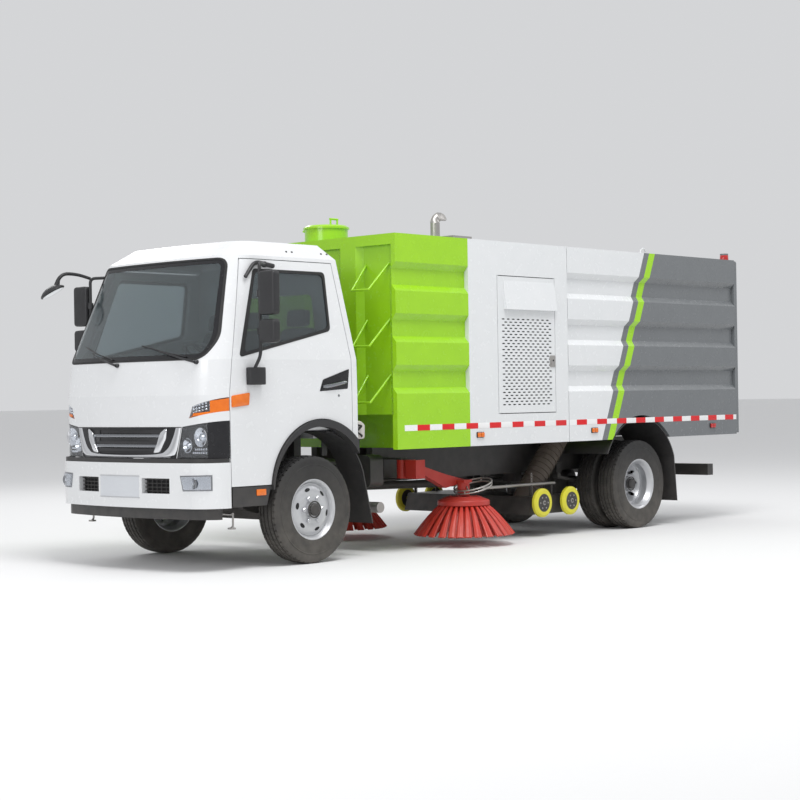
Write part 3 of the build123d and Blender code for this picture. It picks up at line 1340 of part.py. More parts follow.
# Mirrors: foot on the door, pole, upper arm and two heads on each side; a front mirror on the right
foot_front = 778
foot_rear = 600
foot_low = 1612
foot_high = 1765
foot_reach = 62
pole_x = 706
pole_y = 1196
pole_low = 1740
pole_high = 2668
pole_radius = 15
upper_x = 440
upper_y = 974
upper_z = 2680
upper_pad = 26
upper_pad_half = 27
head_depth = 84
head_gap = 8
head_width = 196
clamp_radius = 27
main_low = 2213
main_high = 2595
wide_low = 1972
wide_high = 2176
clamp_height = 50
head_corner = 26
front_arm_x = 1010
front_arm_y = 1290
front_arm_z = 2560
front_head_x = 1075
front_head_length = 150
front_head_radius = 70
for hand, side in (("left", 1), ("right", -1)):
    with BuildPart() as mirror:
        foot_outer = cab_half_width + foot_reach
        cross_prism(((side * (cab_side(foot_low) + pin_gap), foot_low), (side * foot_outer, foot_low),
                     (side * foot_outer, foot_high), (side * (cab_side(foot_high) + pin_gap), foot_high)),
                    ahead(foot_rear), ahead(foot_front))
        pad_low = upper_z - upper_pad_half
        pad_high = upper_z + upper_pad_half
        cross_prism(((side * (cab_side(pad_low) + pin_gap), pad_low),
                     (side * (cab_side(pad_low) + upper_pad), pad_low),
                     (side * (cab_side(pad_high) + upper_pad), pad_high),
                     (side * (cab_side(pad_high) + pin_gap), pad_high)),
                    ahead(upper_x - upper_pad_half), ahead(upper_x + upper_pad_half))
        bar((ahead(foot_front - foot_reach), side * (cab_half_width + foot_reach / 2), foot_high - clamp_radius),
            (ahead(pole_x), side * pole_y, pole_low + foot_reach * 2), pole_radius)
        bar((ahead(pole_x), side * pole_y, pole_low + foot_reach * 2),
            (ahead(pole_x), side * pole_y, pole_high), pole_radius)
        bar((ahead(pole_x), side * pole_y, pole_high), (ahead(upper_x), side * upper_y, upper_z), pole_radius)
        for low, high in ((main_low, main_high), (wide_low, wide_high)):
            head_start = pole_y + pole_radius + head_gap
            low_y, high_y = sorted((side * head_start, side * (head_start + head_width)))
            with BuildSketch(Plane.YZ.offset(ahead(pole_x - head_depth / 2))) as head:
                with Locations(((low_y + high_y) / 2, (low + high) / 2)):
                    RectangleRounded(head_width, high - low, head_corner)
            extrude(head.sketch, amount=head_depth)
            middle = (low + high) / 2
            bar((ahead(pole_x), side * pole_y, middle - clamp_height / 2),
                (ahead(pole_x), side * pole_y, middle + clamp_height / 2), clamp_radius)
            bar((ahead(pole_x), side * pole_y, middle),
                (ahead(pole_x), side * (head_start + head_gap), middle), pole_radius)
        if side < 0:
            bar((ahead(pole_x), side * pole_y, pole_high), (ahead(front_arm_x), side * front_arm_y, pole_high),
                pole_radius)
            bar((ahead(front_arm_x), side * front_arm_y, pole_high),
                (ahead(front_head_x), side * front_arm_y, front_arm_z), pole_radius)
            bar((ahead(front_head_x - front_head_length / 2), side * front_arm_y, front_arm_z),
                (ahead(front_head_x + front_head_length / 2), side * front_arm_y,
                 front_arm_z - front_head_length / 2), front_head_radius)
    finish(mirror, f"mirror_{hand}")

# Front mudguards on the chassis: rear half of the wheel house and the hanging flap
liner_radius = 570
liner_wall = 12
liner_back = 190
liner_z = 620
liner_inner_y = 700
liner_outer_y = 1018
liner_top_back = 250
liner_end_z = 800
front_flap_bottom = 308
front_flap_back = 850
liner_stay_z = 846
with BuildPart() as front_mudguards:
    for side in (1, -1):
        low_y, high_y = sorted((side * liner_inner_y, side * liner_outer_y))
        side_disc(behind(liner_back), liner_z, liner_radius, low_y, high_y)
        side_disc(behind(liner_back), liner_z, liner_radius - liner_wall, low_y, high_y,
                  mode=Mode.SUBTRACT)
    slab((behind(liner_top_back), -liner_outer_y - overrun, 0),
         (ahead(liner_radius + overrun), liner_outer_y + overrun, cab_height), mode=Mode.SUBTRACT)
    slab((behind(liner_back + liner_radius + overrun), -liner_outer_y - overrun, 0),
         (behind(liner_top_back) + overrun, liner_outer_y + overrun, liner_end_z), mode=Mode.SUBTRACT)
    for side in (1, -1):
        low_y, high_y = sorted((side * liner_inner_y, side * liner_outer_y))
        outer_x = behind(liner_back) - sqrt(liner_radius ** 2 - (liner_end_z - liner_z) ** 2)
        side_prism(((outer_x, liner_end_z), (outer_x + liner_wall * 1.1, liner_end_z),
                    (behind(front_flap_back - liner_wall), front_flap_bottom),
                    (behind(front_flap_back), front_flap_bottom)), low_y, high_y)
        stay_x = behind(liner_back) - sqrt((liner_radius - liner_wall / 2) ** 2
                                           - (liner_stay_z - liner_z) ** 2)
        bar((stay_x, side * rail_half_width, liner_stay_z), (stay_x, side * liner_inner_y, liner_stay_z),
            guard_stay_radius)
finish(front_mudguards, "front_mudguards")

# Fuel tank on the right rail and battery box on the left one, on strap brackets
fuel_front = 1150
fuel_rear = 1500
fuel_inner_y = 470
fuel_outer_y = 900
fuel_low = 470
fuel_high = 900
fuel_corner = 60
battery_rear = 1330
battery_outer_y = 700
battery_low = 620
battery_high = 930
with BuildPart() as side_tanks:
    for side, rear, outer_y, low, high in ((-1, fuel_rear, fuel_outer_y, fuel_low, fuel_high),
                                           (1, battery_rear, battery_outer_y, battery_low, battery_high)):
        low_y, high_y = sorted((side * fuel_inner_y, side * outer_y))
        cross_prism(((low_y, low), (high_y, low), (high_y, high), (low_y, high)),
                    behind(rear), behind(fuel_front), corner=fuel_corner)
        low_y, high_y = sorted((side * rail_half_width, side * fuel_inner_y))
        for station in (fuel_front + rail_flange, rear - rail_flange):
            slab((behind(station) - rail_wall, low_y, max(low, rail_bottom)),
                 (behind(station) + rail_wall, high_y, min(high, rail_top)))
finish(side_tanks, "fuel_tank_and_battery_box")

# Exhaust silencer under the left rail with its tail pipe
silencer_y = 800
tail_front = 1180
tail_rear = 1420
tail_start_z = 430
tail_end_z = 352
pipe_radius = 52
with BuildPart() as silencer:
    bar((behind(tail_front), silencer_y, tail_start_z), (behind(tail_rear), silencer_y, tail_end_z),
        pipe_radius)
    bar((behind(tail_front), silencer_y, tail_start_z),
        (behind(tail_front), rail_half_width - rail_flange / 2, tail_start_z), pipe_radius)
    bar((behind(tail_front), rail_half_width - rail_flange / 2, tail_start_z - pipe_radius / 2),
        (behind(tail_front), rail_half_width - rail_flange / 2, rail_bottom), guard_stay_radius)
finish(silencer, "exhaust_silencer")

# Side brushes: slewing bracket on the rail, drop arm and the brush head with its bristle skirt
slew_back = 1660
slew_y = 640
slew_pin_radius = 24
slew_radius = 52
slew_low = 668
slew_high = 900
bracket_plate = 14
lift_back = 1700
lift_y = 800
lift_z = 800
lift_pin_radius = 16
lift_half = 70
lift_radius = 44
arm_width = 84
arm_mid_back = 2080
arm_mid_z = 620
arm_wall_height = 90
brush_back = 2300
brush_y = 880
brush_z = 490
brush_shaft_radius = 20
motor_radius = 62
brush_motor_height = 130
plate_radius = 262
plate_height = 46
bristle_inner = 170
bristle_top = 225
bristle_low_outer = 505
bristle_low_inner = 385
bristle_bottom = 100
plate_drop = 40
for hand, side in (("left", 1), ("right", -1)):
    pivot_x = behind(slew_back)
    with BuildPart() as slew:
        low = slew_low + bracket_plate + body_gap / 2
        high = slew_high - bracket_plate * 2 - body_gap / 2
        bar((pivot_x, side * slew_y, low), (pivot_x, side * slew_y, high), slew_radius)
        low_y, high_y = sorted((side * slew_y, side * (lift_y - lift_half)))
        slab((pivot_x - slew_radius, low_y, low), (pivot_x - slew_radius + bracket_plate * 2, high_y, high))
        for cheek in (lift_y - lift_half, lift_y + lift_half - bracket_plate):
            low_y, high_y = sorted((side * cheek, side * (cheek + bracket_plate)))
            slab((behind(lift_back) - lift_radius, low_y, low), (behind(lift_back) + lift_radius * 2, high_y, high))
        low_y, high_y = sorted((side * (lift_y - lift_half), side * (lift_y + lift_half)))
        slab((behind(lift_back) + lift_radius * 2 - bracket_plate, low_y, low),
             (behind(lift_back) + lift_radius * 2, high_y, high))
        side_disc(behind(lift_back), lift_z, lift_pin_radius, low_y, high_y)
        bar((pivot_x, side * slew_y, slew_low), (pivot_x, side * slew_y, slew_high),
            slew_pin_radius + pin_gap, mode=Mode.SUBTRACT)
    finish(slew, f"brush_slew_{hand}")
    with BuildPart() as drop_arm:
        low_y, high_y = sorted((side * (lift_y - arm_width / 2), side * (lift_y + arm_width / 2)))
        side_prism(((behind(lift_back) + lift_radius / 2, lift_z + lift_radius / 2),
                    (behind(lift_back) + lift_radius / 2, lift_z - lift_radius),
                    (behind(arm_mid_back), arm_mid_z - arm_wall_height / 2),
                    (behind(brush_back) - motor_radius, brush_z + brush_motor_height),
                    (behind(brush_back) - motor_radius, brush_z + brush_motor_height + bracket_plate * 2),
                    (behind(arm_mid_back), arm_mid_z + arm_wall_height)), low_y, high_y)
        slab((behind(brush_back) - motor_radius, min(side * lift_y, side * (brush_y + motor_radius)),
              brush_z + brush_motor_height),
             (behind(brush_back) + motor_radius, max(side * lift_y, side * (brush_y + motor_radius)),
              brush_z + brush_motor_height + bracket_plate * 2))
        bar((behind(brush_back), side * brush_y, brush_z + pin_gap),
            (behind(brush_back), side * brush_y, brush_z + brush_motor_height), motor_radius)
        bar((behind(brush_back), side * brush_y, brush_z - plate_height + body_gap),
            (behind(brush_back), side * brush_y, brush_z + pin_gap), brush_shaft_radius)
        side_disc(behind(lift_back), lift_z, lift_pin_radius + pin_gap, low_y - overrun, high_y + overrun,
                  mode=Mode.SUBTRACT)
    finish(drop_arm, f"brush_arm_{hand}")
    with BuildPart() as brush:
        centre = (behind(brush_back), side * brush_y)
        top = brush_z - body_gap
        spun(((brush_shaft_radius + pin_gap, top - plate_height), (brush_shaft_radius + pin_gap, top),
              (bristle_inner, top), (plate_radius, top - plate_drop),
              (bristle_low_outer, bristle_bottom), (bristle_low_inner, bristle_bottom),
              (bristle_top, top - plate_drop - plate_height), (bristle_inner, top - plate_height)), *centre)
    finish(brush, f"brush_{hand}")

# Suction nozzle: box with flared skirt on four small wheels, hung from the frame by guide posts
nozzle_front = 3320
nozzle_rear = 4120
nozzle_half_width = 880
nozzle_low = 232
nozzle_high = 420
nozzle_wall = 12
nozzle_wheel_radius = 150
nozzle_wheel_width = 56
nozzle_wheel_z = 358
nozzle_wheel_y = 972
nozzle_axle_radius = 14
front_wheel_back = 3440
rear_wheel_back = 3912
nozzle_bar_z = 545
nozzle_bar_radius = 15
nozzle_bar_front = 2640
nozzle_bar_rear = 3850
post_radius = 22
post_y = 300
hose_radius = 120
hose_wall = 16
hose_low_back = 3580
hose_high_back = 4100
hose_high_z = 975
hose_root_share = 0.2
hose_y = 640
guide_low = 560
guide_inner = 262
guide_half = 52
hose_rib = 9
hose_rib_count = 11
hose_rib_length = 16
for name, wheel_back in (("front", front_wheel_back), ("rear", rear_wheel_back)):
    for hand, side in (("left", 1), ("right", -1)):
        with BuildPart() as nozzle_wheel:
            centre_x = behind(wheel_back)
            half = nozzle_wheel_width / 2
            middle = side * nozzle_wheel_y
            groove = nozzle_wheel_radius - hoop_radius
            lathe(((middle - half, nozzle_axle_radius + pin_gap), (middle - half, groove - hoop_radius),
                   (middle - half / 2, nozzle_wheel_radius), (middle + half / 2, nozzle_wheel_radius),
                   (middle + half, groove - hoop_radius), (middle + half, nozzle_axle_radius + pin_gap)),
                  centre_x, nozzle_wheel_z)
        finish(nozzle_wheel, f"nozzle_wheel_{name}_{hand}")

with BuildPart() as nozzle:
    side_prism(((behind(nozzle_rear), nozzle_low), (behind(nozzle_front), nozzle_low),
                (behind(nozzle_front + overrun), nozzle_high), (behind(nozzle_rear - overrun), nozzle_high)),
               -nozzle_half_width, nozzle_half_width)
    side_prism(((behind(nozzle_rear - nozzle_wall), nozzle_low - overrun),
                (behind(nozzle_front + nozzle_wall), nozzle_low - overrun),
                (behind(nozzle_front + overrun + nozzle_wall), nozzle_high - nozzle_wall),
                (behind(nozzle_rear - overrun - nozzle_wall), nozzle_high - nozzle_wall)),
               -nozzle_half_width + nozzle_wall, nozzle_half_width - nozzle_wall, mode=Mode.SUBTRACT)
    for side in (1, -1):
        for wheel_back in (front_wheel_back, rear_wheel_back):
            low_y, high_y = sorted((side * (nozzle_half_width - nozzle_wall),
                                    side * (nozzle_wheel_y + nozzle_wheel_width / 2 + nozzle_wall)))
            side_disc(behind(wheel_back), nozzle_wheel_z, nozzle_axle_radius, low_y, high_y)
        bar((behind(nozzle_bar_rear), side * (nozzle_half_width - overrun), nozzle_bar_z),
            (behind(nozzle_bar_front), side * (nozzle_half_width - overrun), nozzle_bar_z), nozzle_bar_radius)
        for stand_back in (nozzle_front + overrun * 2, nozzle_bar_rear - overrun):
            bar((behind(stand_back), side * (nozzle_half_width - overrun), nozzle_high - nozzle_wall / 2),
                (behind(stand_back), side * (nozzle_half_width - overrun), nozzle_bar_z), nozzle_bar_radius)
        bar((behind((nozzle_front + nozzle_rear) / 2), side * post_y, nozzle_high - nozzle_wall / 2),
            (behind((nozzle_front + nozzle_rear) / 2), side * post_y, rail_top - rail_flange), post_radius)
finish(nozzle, "suction_nozzle")

# Brackets on the rails: brush slewing pins and the guides of the nozzle's posts
post_x = behind((nozzle_front + nozzle_rear) / 2)
slew_x = behind(slew_back)
with BuildPart() as gear_mounts:
    for side in (1, -1):
        low_y, high_y = sorted((side * rail_half_width, side * slew_y))
        for low in (slew_low, slew_high - bracket_plate * 2):
            slab((slew_x - slew_radius, low_y, low), (slew_x + slew_radius, high_y, low + bracket_plate))
            bar((slew_x, side * slew_y, low), (slew_x, side * slew_y, low + bracket_plate), slew_radius)
        low_y, high_y = sorted((side * rail_half_width, side * (rail_half_width + bracket_plate)))
        slab((slew_x - slew_radius, low_y, slew_low), (slew_x + slew_radius, high_y, rail_top))
        bar((slew_x, side * slew_y, slew_low), (slew_x, side * slew_y, slew_high - bracket_plate),
            slew_pin_radius)
        low_y, high_y = sorted((side * guide_inner, side * rail_half_width))
        slab((post_x - guide_half, low_y, guide_low), (post_x + guide_half, high_y, rail_bottom))
        bar((post_x, side * post_y, guide_low - overrun), (post_x, side * post_y, rail_top),
            post_radius + pin_gap, mode=Mode.SUBTRACT)
finish(gear_mounts, "sweeping_gear_mounts")

# Ribbed suction hose that stands on the nozzle and leans back to the hopper's inlet
hose_foot = Vector(behind(hose_low_back), hose_y, nozzle_high)
hose_head = Vector(behind(hose_high_back), hose_y, hose_high_z)
hose_run = hose_head - hose_foot
with BuildPart() as suction_hose:
    bar(tuple(hose_foot - hose_run * hose_root_share), tuple(hose_head + hose_run * hose_root_share),
        hose_radius)
    for step in range(hose_rib_count):
        rib_foot = hose_foot + hose_run * ((step + 1) / (hose_rib_count + 1))
        bar(tuple(rib_foot), tuple(rib_foot + hose_run.normalized() * hose_rib_length),
            hose_radius + hose_rib)
    bar(tuple(hose_foot - hose_run), tuple(hose_head + hose_run), hose_radius - hose_wall,
        mode=Mode.SUBTRACT)
    for low, high in ((nozzle_low - overrun, nozzle_high), (hose_high_z, hose_high_z + hose_radius * 2)):
        slab((behind(hose_high_back + hose_radius * 4), hose_y - hose_radius * 2, low),
             (behind(hose_low_back - hose_radius * 4), hose_y + hose_radius * 2, high), mode=Mode.SUBTRACT)
finish(suction_hose, "suction_hose")
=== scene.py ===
"""Looks of a street sweeper truck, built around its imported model.

Every place is in metres in the part's own frame: +X forward, +Y to the vehicle's left, +Z up.
"""

import json
import logging
import math
from dataclasses import dataclass, field, replace
from enum import Enum
from typing import Callable, Sequence

import bpy
import numpy as np
from mathutils import Matrix

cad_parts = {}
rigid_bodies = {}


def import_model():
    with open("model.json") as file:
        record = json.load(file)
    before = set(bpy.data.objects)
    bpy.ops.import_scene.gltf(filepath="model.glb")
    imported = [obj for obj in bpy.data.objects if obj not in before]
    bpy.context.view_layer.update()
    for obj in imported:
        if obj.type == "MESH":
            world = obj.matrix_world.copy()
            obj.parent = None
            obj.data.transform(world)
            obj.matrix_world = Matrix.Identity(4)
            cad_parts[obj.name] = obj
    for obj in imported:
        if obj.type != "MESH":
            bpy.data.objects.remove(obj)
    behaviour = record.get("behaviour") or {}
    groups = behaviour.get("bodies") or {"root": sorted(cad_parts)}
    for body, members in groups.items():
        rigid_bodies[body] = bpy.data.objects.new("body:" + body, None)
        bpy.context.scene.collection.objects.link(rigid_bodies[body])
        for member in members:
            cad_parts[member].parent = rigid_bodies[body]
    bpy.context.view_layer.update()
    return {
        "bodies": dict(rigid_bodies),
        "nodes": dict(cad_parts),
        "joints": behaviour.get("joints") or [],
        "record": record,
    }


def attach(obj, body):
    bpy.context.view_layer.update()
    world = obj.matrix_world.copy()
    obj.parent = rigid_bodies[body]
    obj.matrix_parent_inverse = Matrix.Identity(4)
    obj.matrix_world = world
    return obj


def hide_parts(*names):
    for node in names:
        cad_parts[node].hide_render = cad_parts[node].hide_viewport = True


Array = np.ndarray
Pair = tuple[float, float]
Triple = tuple[float, float, float]
Rows = tuple[Pair, ...]
Line = Sequence[Sequence[float]]
Tree = bpy.types.NodeTree
Socket = bpy.types.NodeSocket
LOG = logging.getLogger("sweeper")
FRONT_AXLE = 2.809
TAU = 2 * math.pi


def ahead(distance: float) -> float:
    """X of a station ahead of the front axle."""
    return FRONT_AXLE + distance


def behind(distance: float) -> float:
    """X of a station behind the front axle."""
    return FRONT_AXLE - distance


def whole_turn(steps: int) -> Array:
    """Angles of one whole turn in even steps."""
    return np.linspace(0, TAU, steps, endpoint=False)


# Finishes


class Gloss(Enum):
    """How shiny a surface is, as its lowest and highest roughness."""

    MIRROR = (0.03, 0.06)
    LACQUER = (0.16, 0.3)
    SATIN = (0.34, 0.5)
    DULL = (0.55, 0.72)
    MATT = (0.78, 0.95)


@dataclass(frozen=True)
class Finish:
    """One finish: its colours, gloss, relief and the dust that settles low down.

    Colour varies between base and second by noise, roughness between the gloss limits by finer
    noise, relief is noise bump, and dust grows from dust_top down to the ground.
    """

    name: str
    base: Triple
    second: Triple
    gloss: Gloss = Gloss.SATIN
    metallic: float = 0.0
    coat: float = 0.0
    patch_scale: float = 5.0
    grain_scale: float = 160.0
    relief: float = 0.02
    relief_depth: float = 0.001
    dust: float = 0.0
    dust_top: float = 1.4
    transmission: float = 0.0
    alpha: float = 1.0
    ior: float = 1.45

    def material(self) -> bpy.types.Material:
        """Return the finish's material, made once.

        Returns:
            The node material with its colour, roughness and bump from noise on object coordinates.
        """
        label = f"{self.name}_finish"
        found = bpy.data.materials.get(label)
        if found is not None:
            return found
        made = bpy.data.materials.new(label)
        made.use_nodes = True
        tree = made.node_tree
        shader = tree.nodes["Principled BSDF"]
        shader.inputs["Metallic"].default_value = self.metallic
        shader.inputs["IOR"].default_value = self.ior
        shader.inputs["Coat Weight"].default_value = self.coat
        shader.inputs["Coat Roughness"].default_value = 0.06
        shader.inputs["Transmission Weight"].default_value = self.transmission
        shader.inputs["Alpha"].default_value = self.alpha
        place = tree.nodes.new("ShaderNodeTexCoord").outputs["Object"]
        colour = self.pattern(tree, place)
        if self.dust > 0:
            colour = self.dusted(tree, place, colour)
        tree.links.new(colour, shader.inputs["Base Color"])
        grain = noise(tree, place, self.grain_scale, 2.0)
        rough = tree.nodes.new("ShaderNodeMapRange")
        rough.inputs["From Min"].default_value = 0.3
        rough.inputs["From Max"].default_value = 0.7
        rough.inputs["To Min"].default_value = self.gloss.value[0]
        rough.inputs["To Max"].default_value = self.gloss.value[1]
        tree.links.new(noise(tree, place, self.patch_scale * 4, 4.0), rough.inputs["Value"])
        tree.links.new(rough.outputs["Result"], shader.inputs["Roughness"])
        bump = tree.nodes.new("ShaderNodeBump")
        bump.inputs["Strength"].default_value = self.relief
        bump.inputs["Distance"].default_value = self.relief_depth
        tree.links.new(grain, bump.inputs["Height"])
        tree.links.new(bump.outputs["Normal"], shader.inputs["Normal"])
        return made

    def pattern(self, tree: Tree, place: Socket) -> Socket:
        """Colour socket: base and second mixed by soft noise."""
        return mixed(tree, noise(tree, place, self.patch_scale, 3.0), self.base, self.second)

    def dusted(self, tree: Tree, place: Socket,
               colour: Socket) -> Socket:
        """Mix road dust into a colour, more of it lower down.

        Args:
            tree: Node tree to add to.
            place: Object coordinate socket.
            colour: Colour socket under the dust.

        Returns:
            The dusted colour socket.
        """
        split = tree.nodes.new("ShaderNodeSeparateXYZ")
        tree.links.new(place, split.inputs["Vector"])
        fall = tree.nodes.new("ShaderNodeMapRange")
        fall.inputs["From Min"].default_value = 0.0
        fall.inputs["From Max"].default_value = self.dust_top
        fall.inputs["To Min"].default_value = self.dust
        fall.inputs["To Max"].default_value = 0.0
        tree.links.new(split.outputs["Z"], fall.inputs["Value"])
        share = math_node(tree, "MULTIPLY", fall.outputs["Result"], noise(tree, place, 9.0, 5.0))
        return mixed(tree, share, colour, (0.3, 0.27, 0.23))


def noise(tree: Tree, place: Socket, scale: float,
          detail: float) -> Socket:
    """Add a noise texture on a coordinate socket.

    Args:
        tree: Node tree to add to.
        place: Coordinate socket.
        scale: Waves to the metre.
        detail: Finer layers of noise.

    Returns:
        Its value socket.
    """
    node = tree.nodes.new("ShaderNodeTexNoise")
    node.inputs["Scale"].default_value = scale
    node.inputs["Detail"].default_value = detail
    tree.links.new(place, node.inputs["Vector"])
    return node.outputs["Fac"]


def math_node(tree: Tree, operation: str, *values: object) -> Socket:
    """Add one arithmetic step on sockets or numbers.

    Args:
        tree: Node tree to add to.
        operation: Blender's name of the step.
        values: Sockets or numbers, in the step's own order.

    Returns:
        Its value socket.
    """
    node = tree.nodes.new("ShaderNodeMath")
    node.operation = operation
    for slot, value in zip(node.inputs, values):
        if isinstance(value, (int, float)):
            slot.default_value = value
        else:
            tree.links.new(value, slot)
    return node.outputs[0]


def mixed(tree: Tree, share: Socket, first: object,
          second: object) -> Socket:
    """Add a mix of two colours or colour sockets.

    Args:
        tree: Node tree to add to.
        share: Socket with the second colour's share.
        first: First colour or its socket.
        second: Second colour or its socket.

    Returns:
        The mixed colour's socket.
    """
    node = tree.nodes.new("ShaderNodeMix")
    node.data_type = "RGBA"
    tree.links.new(share, node.inputs[0])
    for slot, value in ((node.inputs[6], first), (node.inputs[7], second)):
        if isinstance(value, tuple):
            slot.default_value = (*value, 1.0)
        else:
            tree.links.new(value, slot)
    return node.outputs[2]


WHITE = (0.74, 0.75, 0.76)
LIME = (0.34, 0.66, 0.012)
LIME_DEEP = (0.29, 0.58, 0.012)
SLATE = (0.15, 0.16, 0.168)
SLATE_WORN = (0.17, 0.18, 0.188)


@dataclass(frozen=True)
class HopperPaint(Finish):
    """White paint that turns slate grey behind a slanted line, with a lime stripe just behind it.

    The line's place is x + lean * (z - foot) compared with edge; the stripe lies between two
    further offsets from it.
    """

    lean: float = 0.404
    foot: float = 0.992
    edge: float = -1.417
    stripe_near: float = -0.095
    stripe_far: float = -0.205

    def pattern(self, tree: Tree, place: Socket) -> Socket:
        """Paint it white, slate behind the line and lime in the stripe.

        Args:
            tree: Node tree to add to.
            place: Object coordinate socket.

        Returns:
            The colour socket.
        """
        split = tree.nodes.new("ShaderNodeSeparateXYZ")
        tree.links.new(place, split.inputs["Vector"])
        rise = math_node(tree, "MULTIPLY_ADD", split.outputs["Z"], self.lean, -self.lean * self.foot)
        across = math_node(tree, "SUBTRACT", math_node(tree, "ADD", split.outputs["X"], rise), self.edge)
        grey = math_node(tree, "LESS_THAN", across, 0.0)
        near = math_node(tree, "LESS_THAN", across, self.stripe_near)
        far = math_node(tree, "GREATER_THAN", across, self.stripe_far)
        shade = mixed(tree, noise(tree, place, self.patch_scale, 3.0), self.base, self.second)
        slate = mixed(tree, noise(tree, place, 4.0, 3.0), SLATE, SLATE_WORN)
        body = mixed(tree, grey, shade, slate)
        return mixed(tree, math_node(tree, "MULTIPLY", near, far), body, LIME)


@dataclass(frozen=True)
class BandTape(Finish):
    """Reflective tape whose red and white blocks follow one another along X."""

    block: float = 0.177
    phase: float = 0.267

    def pattern(self, tree: Tree, place: Socket) -> Socket:
        """Give it the second colour where x wraps into the upper half of two blocks.

        Args:
            tree: Node tree to add to.
            place: Object coordinate socket.

        Returns:
            The colour socket.
        """
        split = tree.nodes.new("ShaderNodeSeparateXYZ")
        tree.links.new(place, split.inputs["Vector"])
        along = math_node(tree, "ADD", split.outputs["X"], self.phase)
        turn = math_node(tree, "WRAP", along, self.block * 2, 0.0)
        return mixed(tree, math_node(tree, "GREATER_THAN", turn, self.block), self.base, self.second)


CAB_WHITE = Finish("cab_white", WHITE, (0.7, 0.71, 0.72), Gloss.LACQUER, coat=0.7, dust=0.1, dust_top=1.3)
BODY_WHITE = Finish("body_white", WHITE, (0.69, 0.71, 0.72), Gloss.LACQUER, coat=0.3, dust=0.05,
                    dust_top=2.0)
TANK_LIME = Finish("tank_lime", LIME, LIME_DEEP, Gloss.LACQUER, coat=0.25, dust=0.05, dust_top=2.0)
HOPPER_PAINT = HopperPaint("hopper_paint", WHITE, (0.69, 0.71, 0.72), Gloss.LACQUER, coat=0.2)
SLATE_PAINT = Finish("slate_paint", SLATE, SLATE_WORN, Gloss.LACQUER, coat=0.2)
CHASSIS_BLACK = Finish("chassis_black", (0.014, 0.014, 0.016), (0.03, 0.03, 0.032), Gloss.SATIN, dust=0.35)
GUARD_BLACK = Finish("guard_black", (0.018, 0.018, 0.02), (0.03, 0.03, 0.032), Gloss.SATIN, relief=0.25,
                     grain_scale=420.0, dust=0.25)
MACHINE_GREY = Finish("machine_grey", (0.07, 0.07, 0.075), (0.12, 0.115, 0.11), Gloss.DULL, metallic=0.5,
                      relief=0.3, dust=0.4)
WHEEL_SILVER = Finish("wheel_silver", (0.62, 0.63, 0.65), (0.54, 0.55, 0.57), Gloss.SATIN, metallic=0.75,
                      dust=0.25)
CHROME = Finish("chrome", (0.75, 0.76, 0.78), (0.7, 0.71, 0.73), Gloss.MIRROR, metallic=1.0, relief=0.01)
DARK_CHROME = Finish("dark_chrome", (0.3, 0.31, 0.33), (0.26, 0.27, 0.29), Gloss.LACQUER, metallic=1.0)
STEEL = Finish("steel", (0.46, 0.45, 0.44), (0.36, 0.34, 0.32), Gloss.SATIN, metallic=0.9, relief=0.1)
TYRE_RUBBER = Finish("tyre_rubber", (0.016, 0.016, 0.017), (0.03, 0.029, 0.028), Gloss.DULL, relief=0.3,
                     grain_scale=500.0, dust=0.5, dust_top=0.9)
RUBBER = Finish("rubber", (0.012, 0.012, 0.013), (0.022, 0.022, 0.022), Gloss.DULL, relief=0.2, dust=0.2)
HOSE_BROWN = Finish("hose_brown", (0.06, 0.046, 0.036), (0.085, 0.066, 0.052), Gloss.DULL, relief=0.2,
                    dust=0.3)
BRISTLE_RED = Finish("bristle_red", (0.62, 0.028, 0.012), (0.44, 0.02, 0.012), Gloss.SATIN, relief=0.4,
                     grain_scale=300.0, dust=0.3, dust_top=0.5)
ARM_RED = Finish("arm_red", (0.5, 0.022, 0.014), (0.4, 0.02, 0.014), Gloss.SATIN, dust=0.2)
YELLOW = Finish("wheel_yellow", (0.78, 0.74, 0.02), (0.68, 0.62, 0.03), Gloss.SATIN, dust=0.35, dust_top=0.8)
AMBER = Finish("amber_lens", (0.86, 0.2, 0.005), (0.66, 0.12, 0.004), Gloss.MIRROR, coat=0.6,
               patch_scale=24.0)
RED_LENS = Finish("red_lens", (0.55, 0.01, 0.008), (0.45, 0.01, 0.008), Gloss.MIRROR, coat=0.8)
LAMP_LENS = Finish("lamp_lens", (0.95, 0.97, 1.0), (0.92, 0.95, 1.0), Gloss.MIRROR, transmission=0.96,
                   relief=0.0, patch_scale=2.0)
WINDOW = Finish("window_tint", (0.42, 0.48, 0.5), (0.4, 0.46, 0.48), Gloss.MIRROR, transmission=0.93,
                relief=0.0)
MIRROR = Finish("mirror_glass", (0.72, 0.74, 0.76), (0.72, 0.74, 0.76), Gloss.MIRROR, metallic=1.0,
                relief=0.0)
FRIT = Finish("screen_border", (0.01, 0.01, 0.012), (0.014, 0.014, 0.016), Gloss.LACQUER)
PLASTIC = Finish("black_plastic", (0.02, 0.02, 0.022), (0.03, 0.03, 0.032), Gloss.SATIN, relief=0.3,
                 grain_scale=600.0)
DASH_GREY = Finish("dash_grey", (0.1, 0.1, 0.105), (0.13, 0.13, 0.135), Gloss.DULL, relief=0.4,
                   grain_scale=500.0)
SEAT_CLOTH = Finish("seat_cloth", (0.06, 0.066, 0.08), (0.1, 0.105, 0.12), Gloss.MATT, relief=0.8,
                    patch_scale=60.0, grain_scale=900.0)
BOTTLE = Finish("bottle_white", (0.66, 0.62, 0.6), (0.58, 0.54, 0.53), Gloss.SATIN, dust=0.1)
PLATE_WHITE = Finish("plate_white", (0.6, 0.62, 0.65), (0.57, 0.59, 0.62), Gloss.SATIN)
# Near-black: painted shade in the wheel dishes' hand holes, the intakes, the door perforations and the
# keyhole, and the black of the lamp cases.
HOLE_SHADE_AND_BLACK = Finish("hole_shade_and_black", (0.006, 0.006, 0.007), (0.012, 0.012, 0.013), Gloss.DULL)
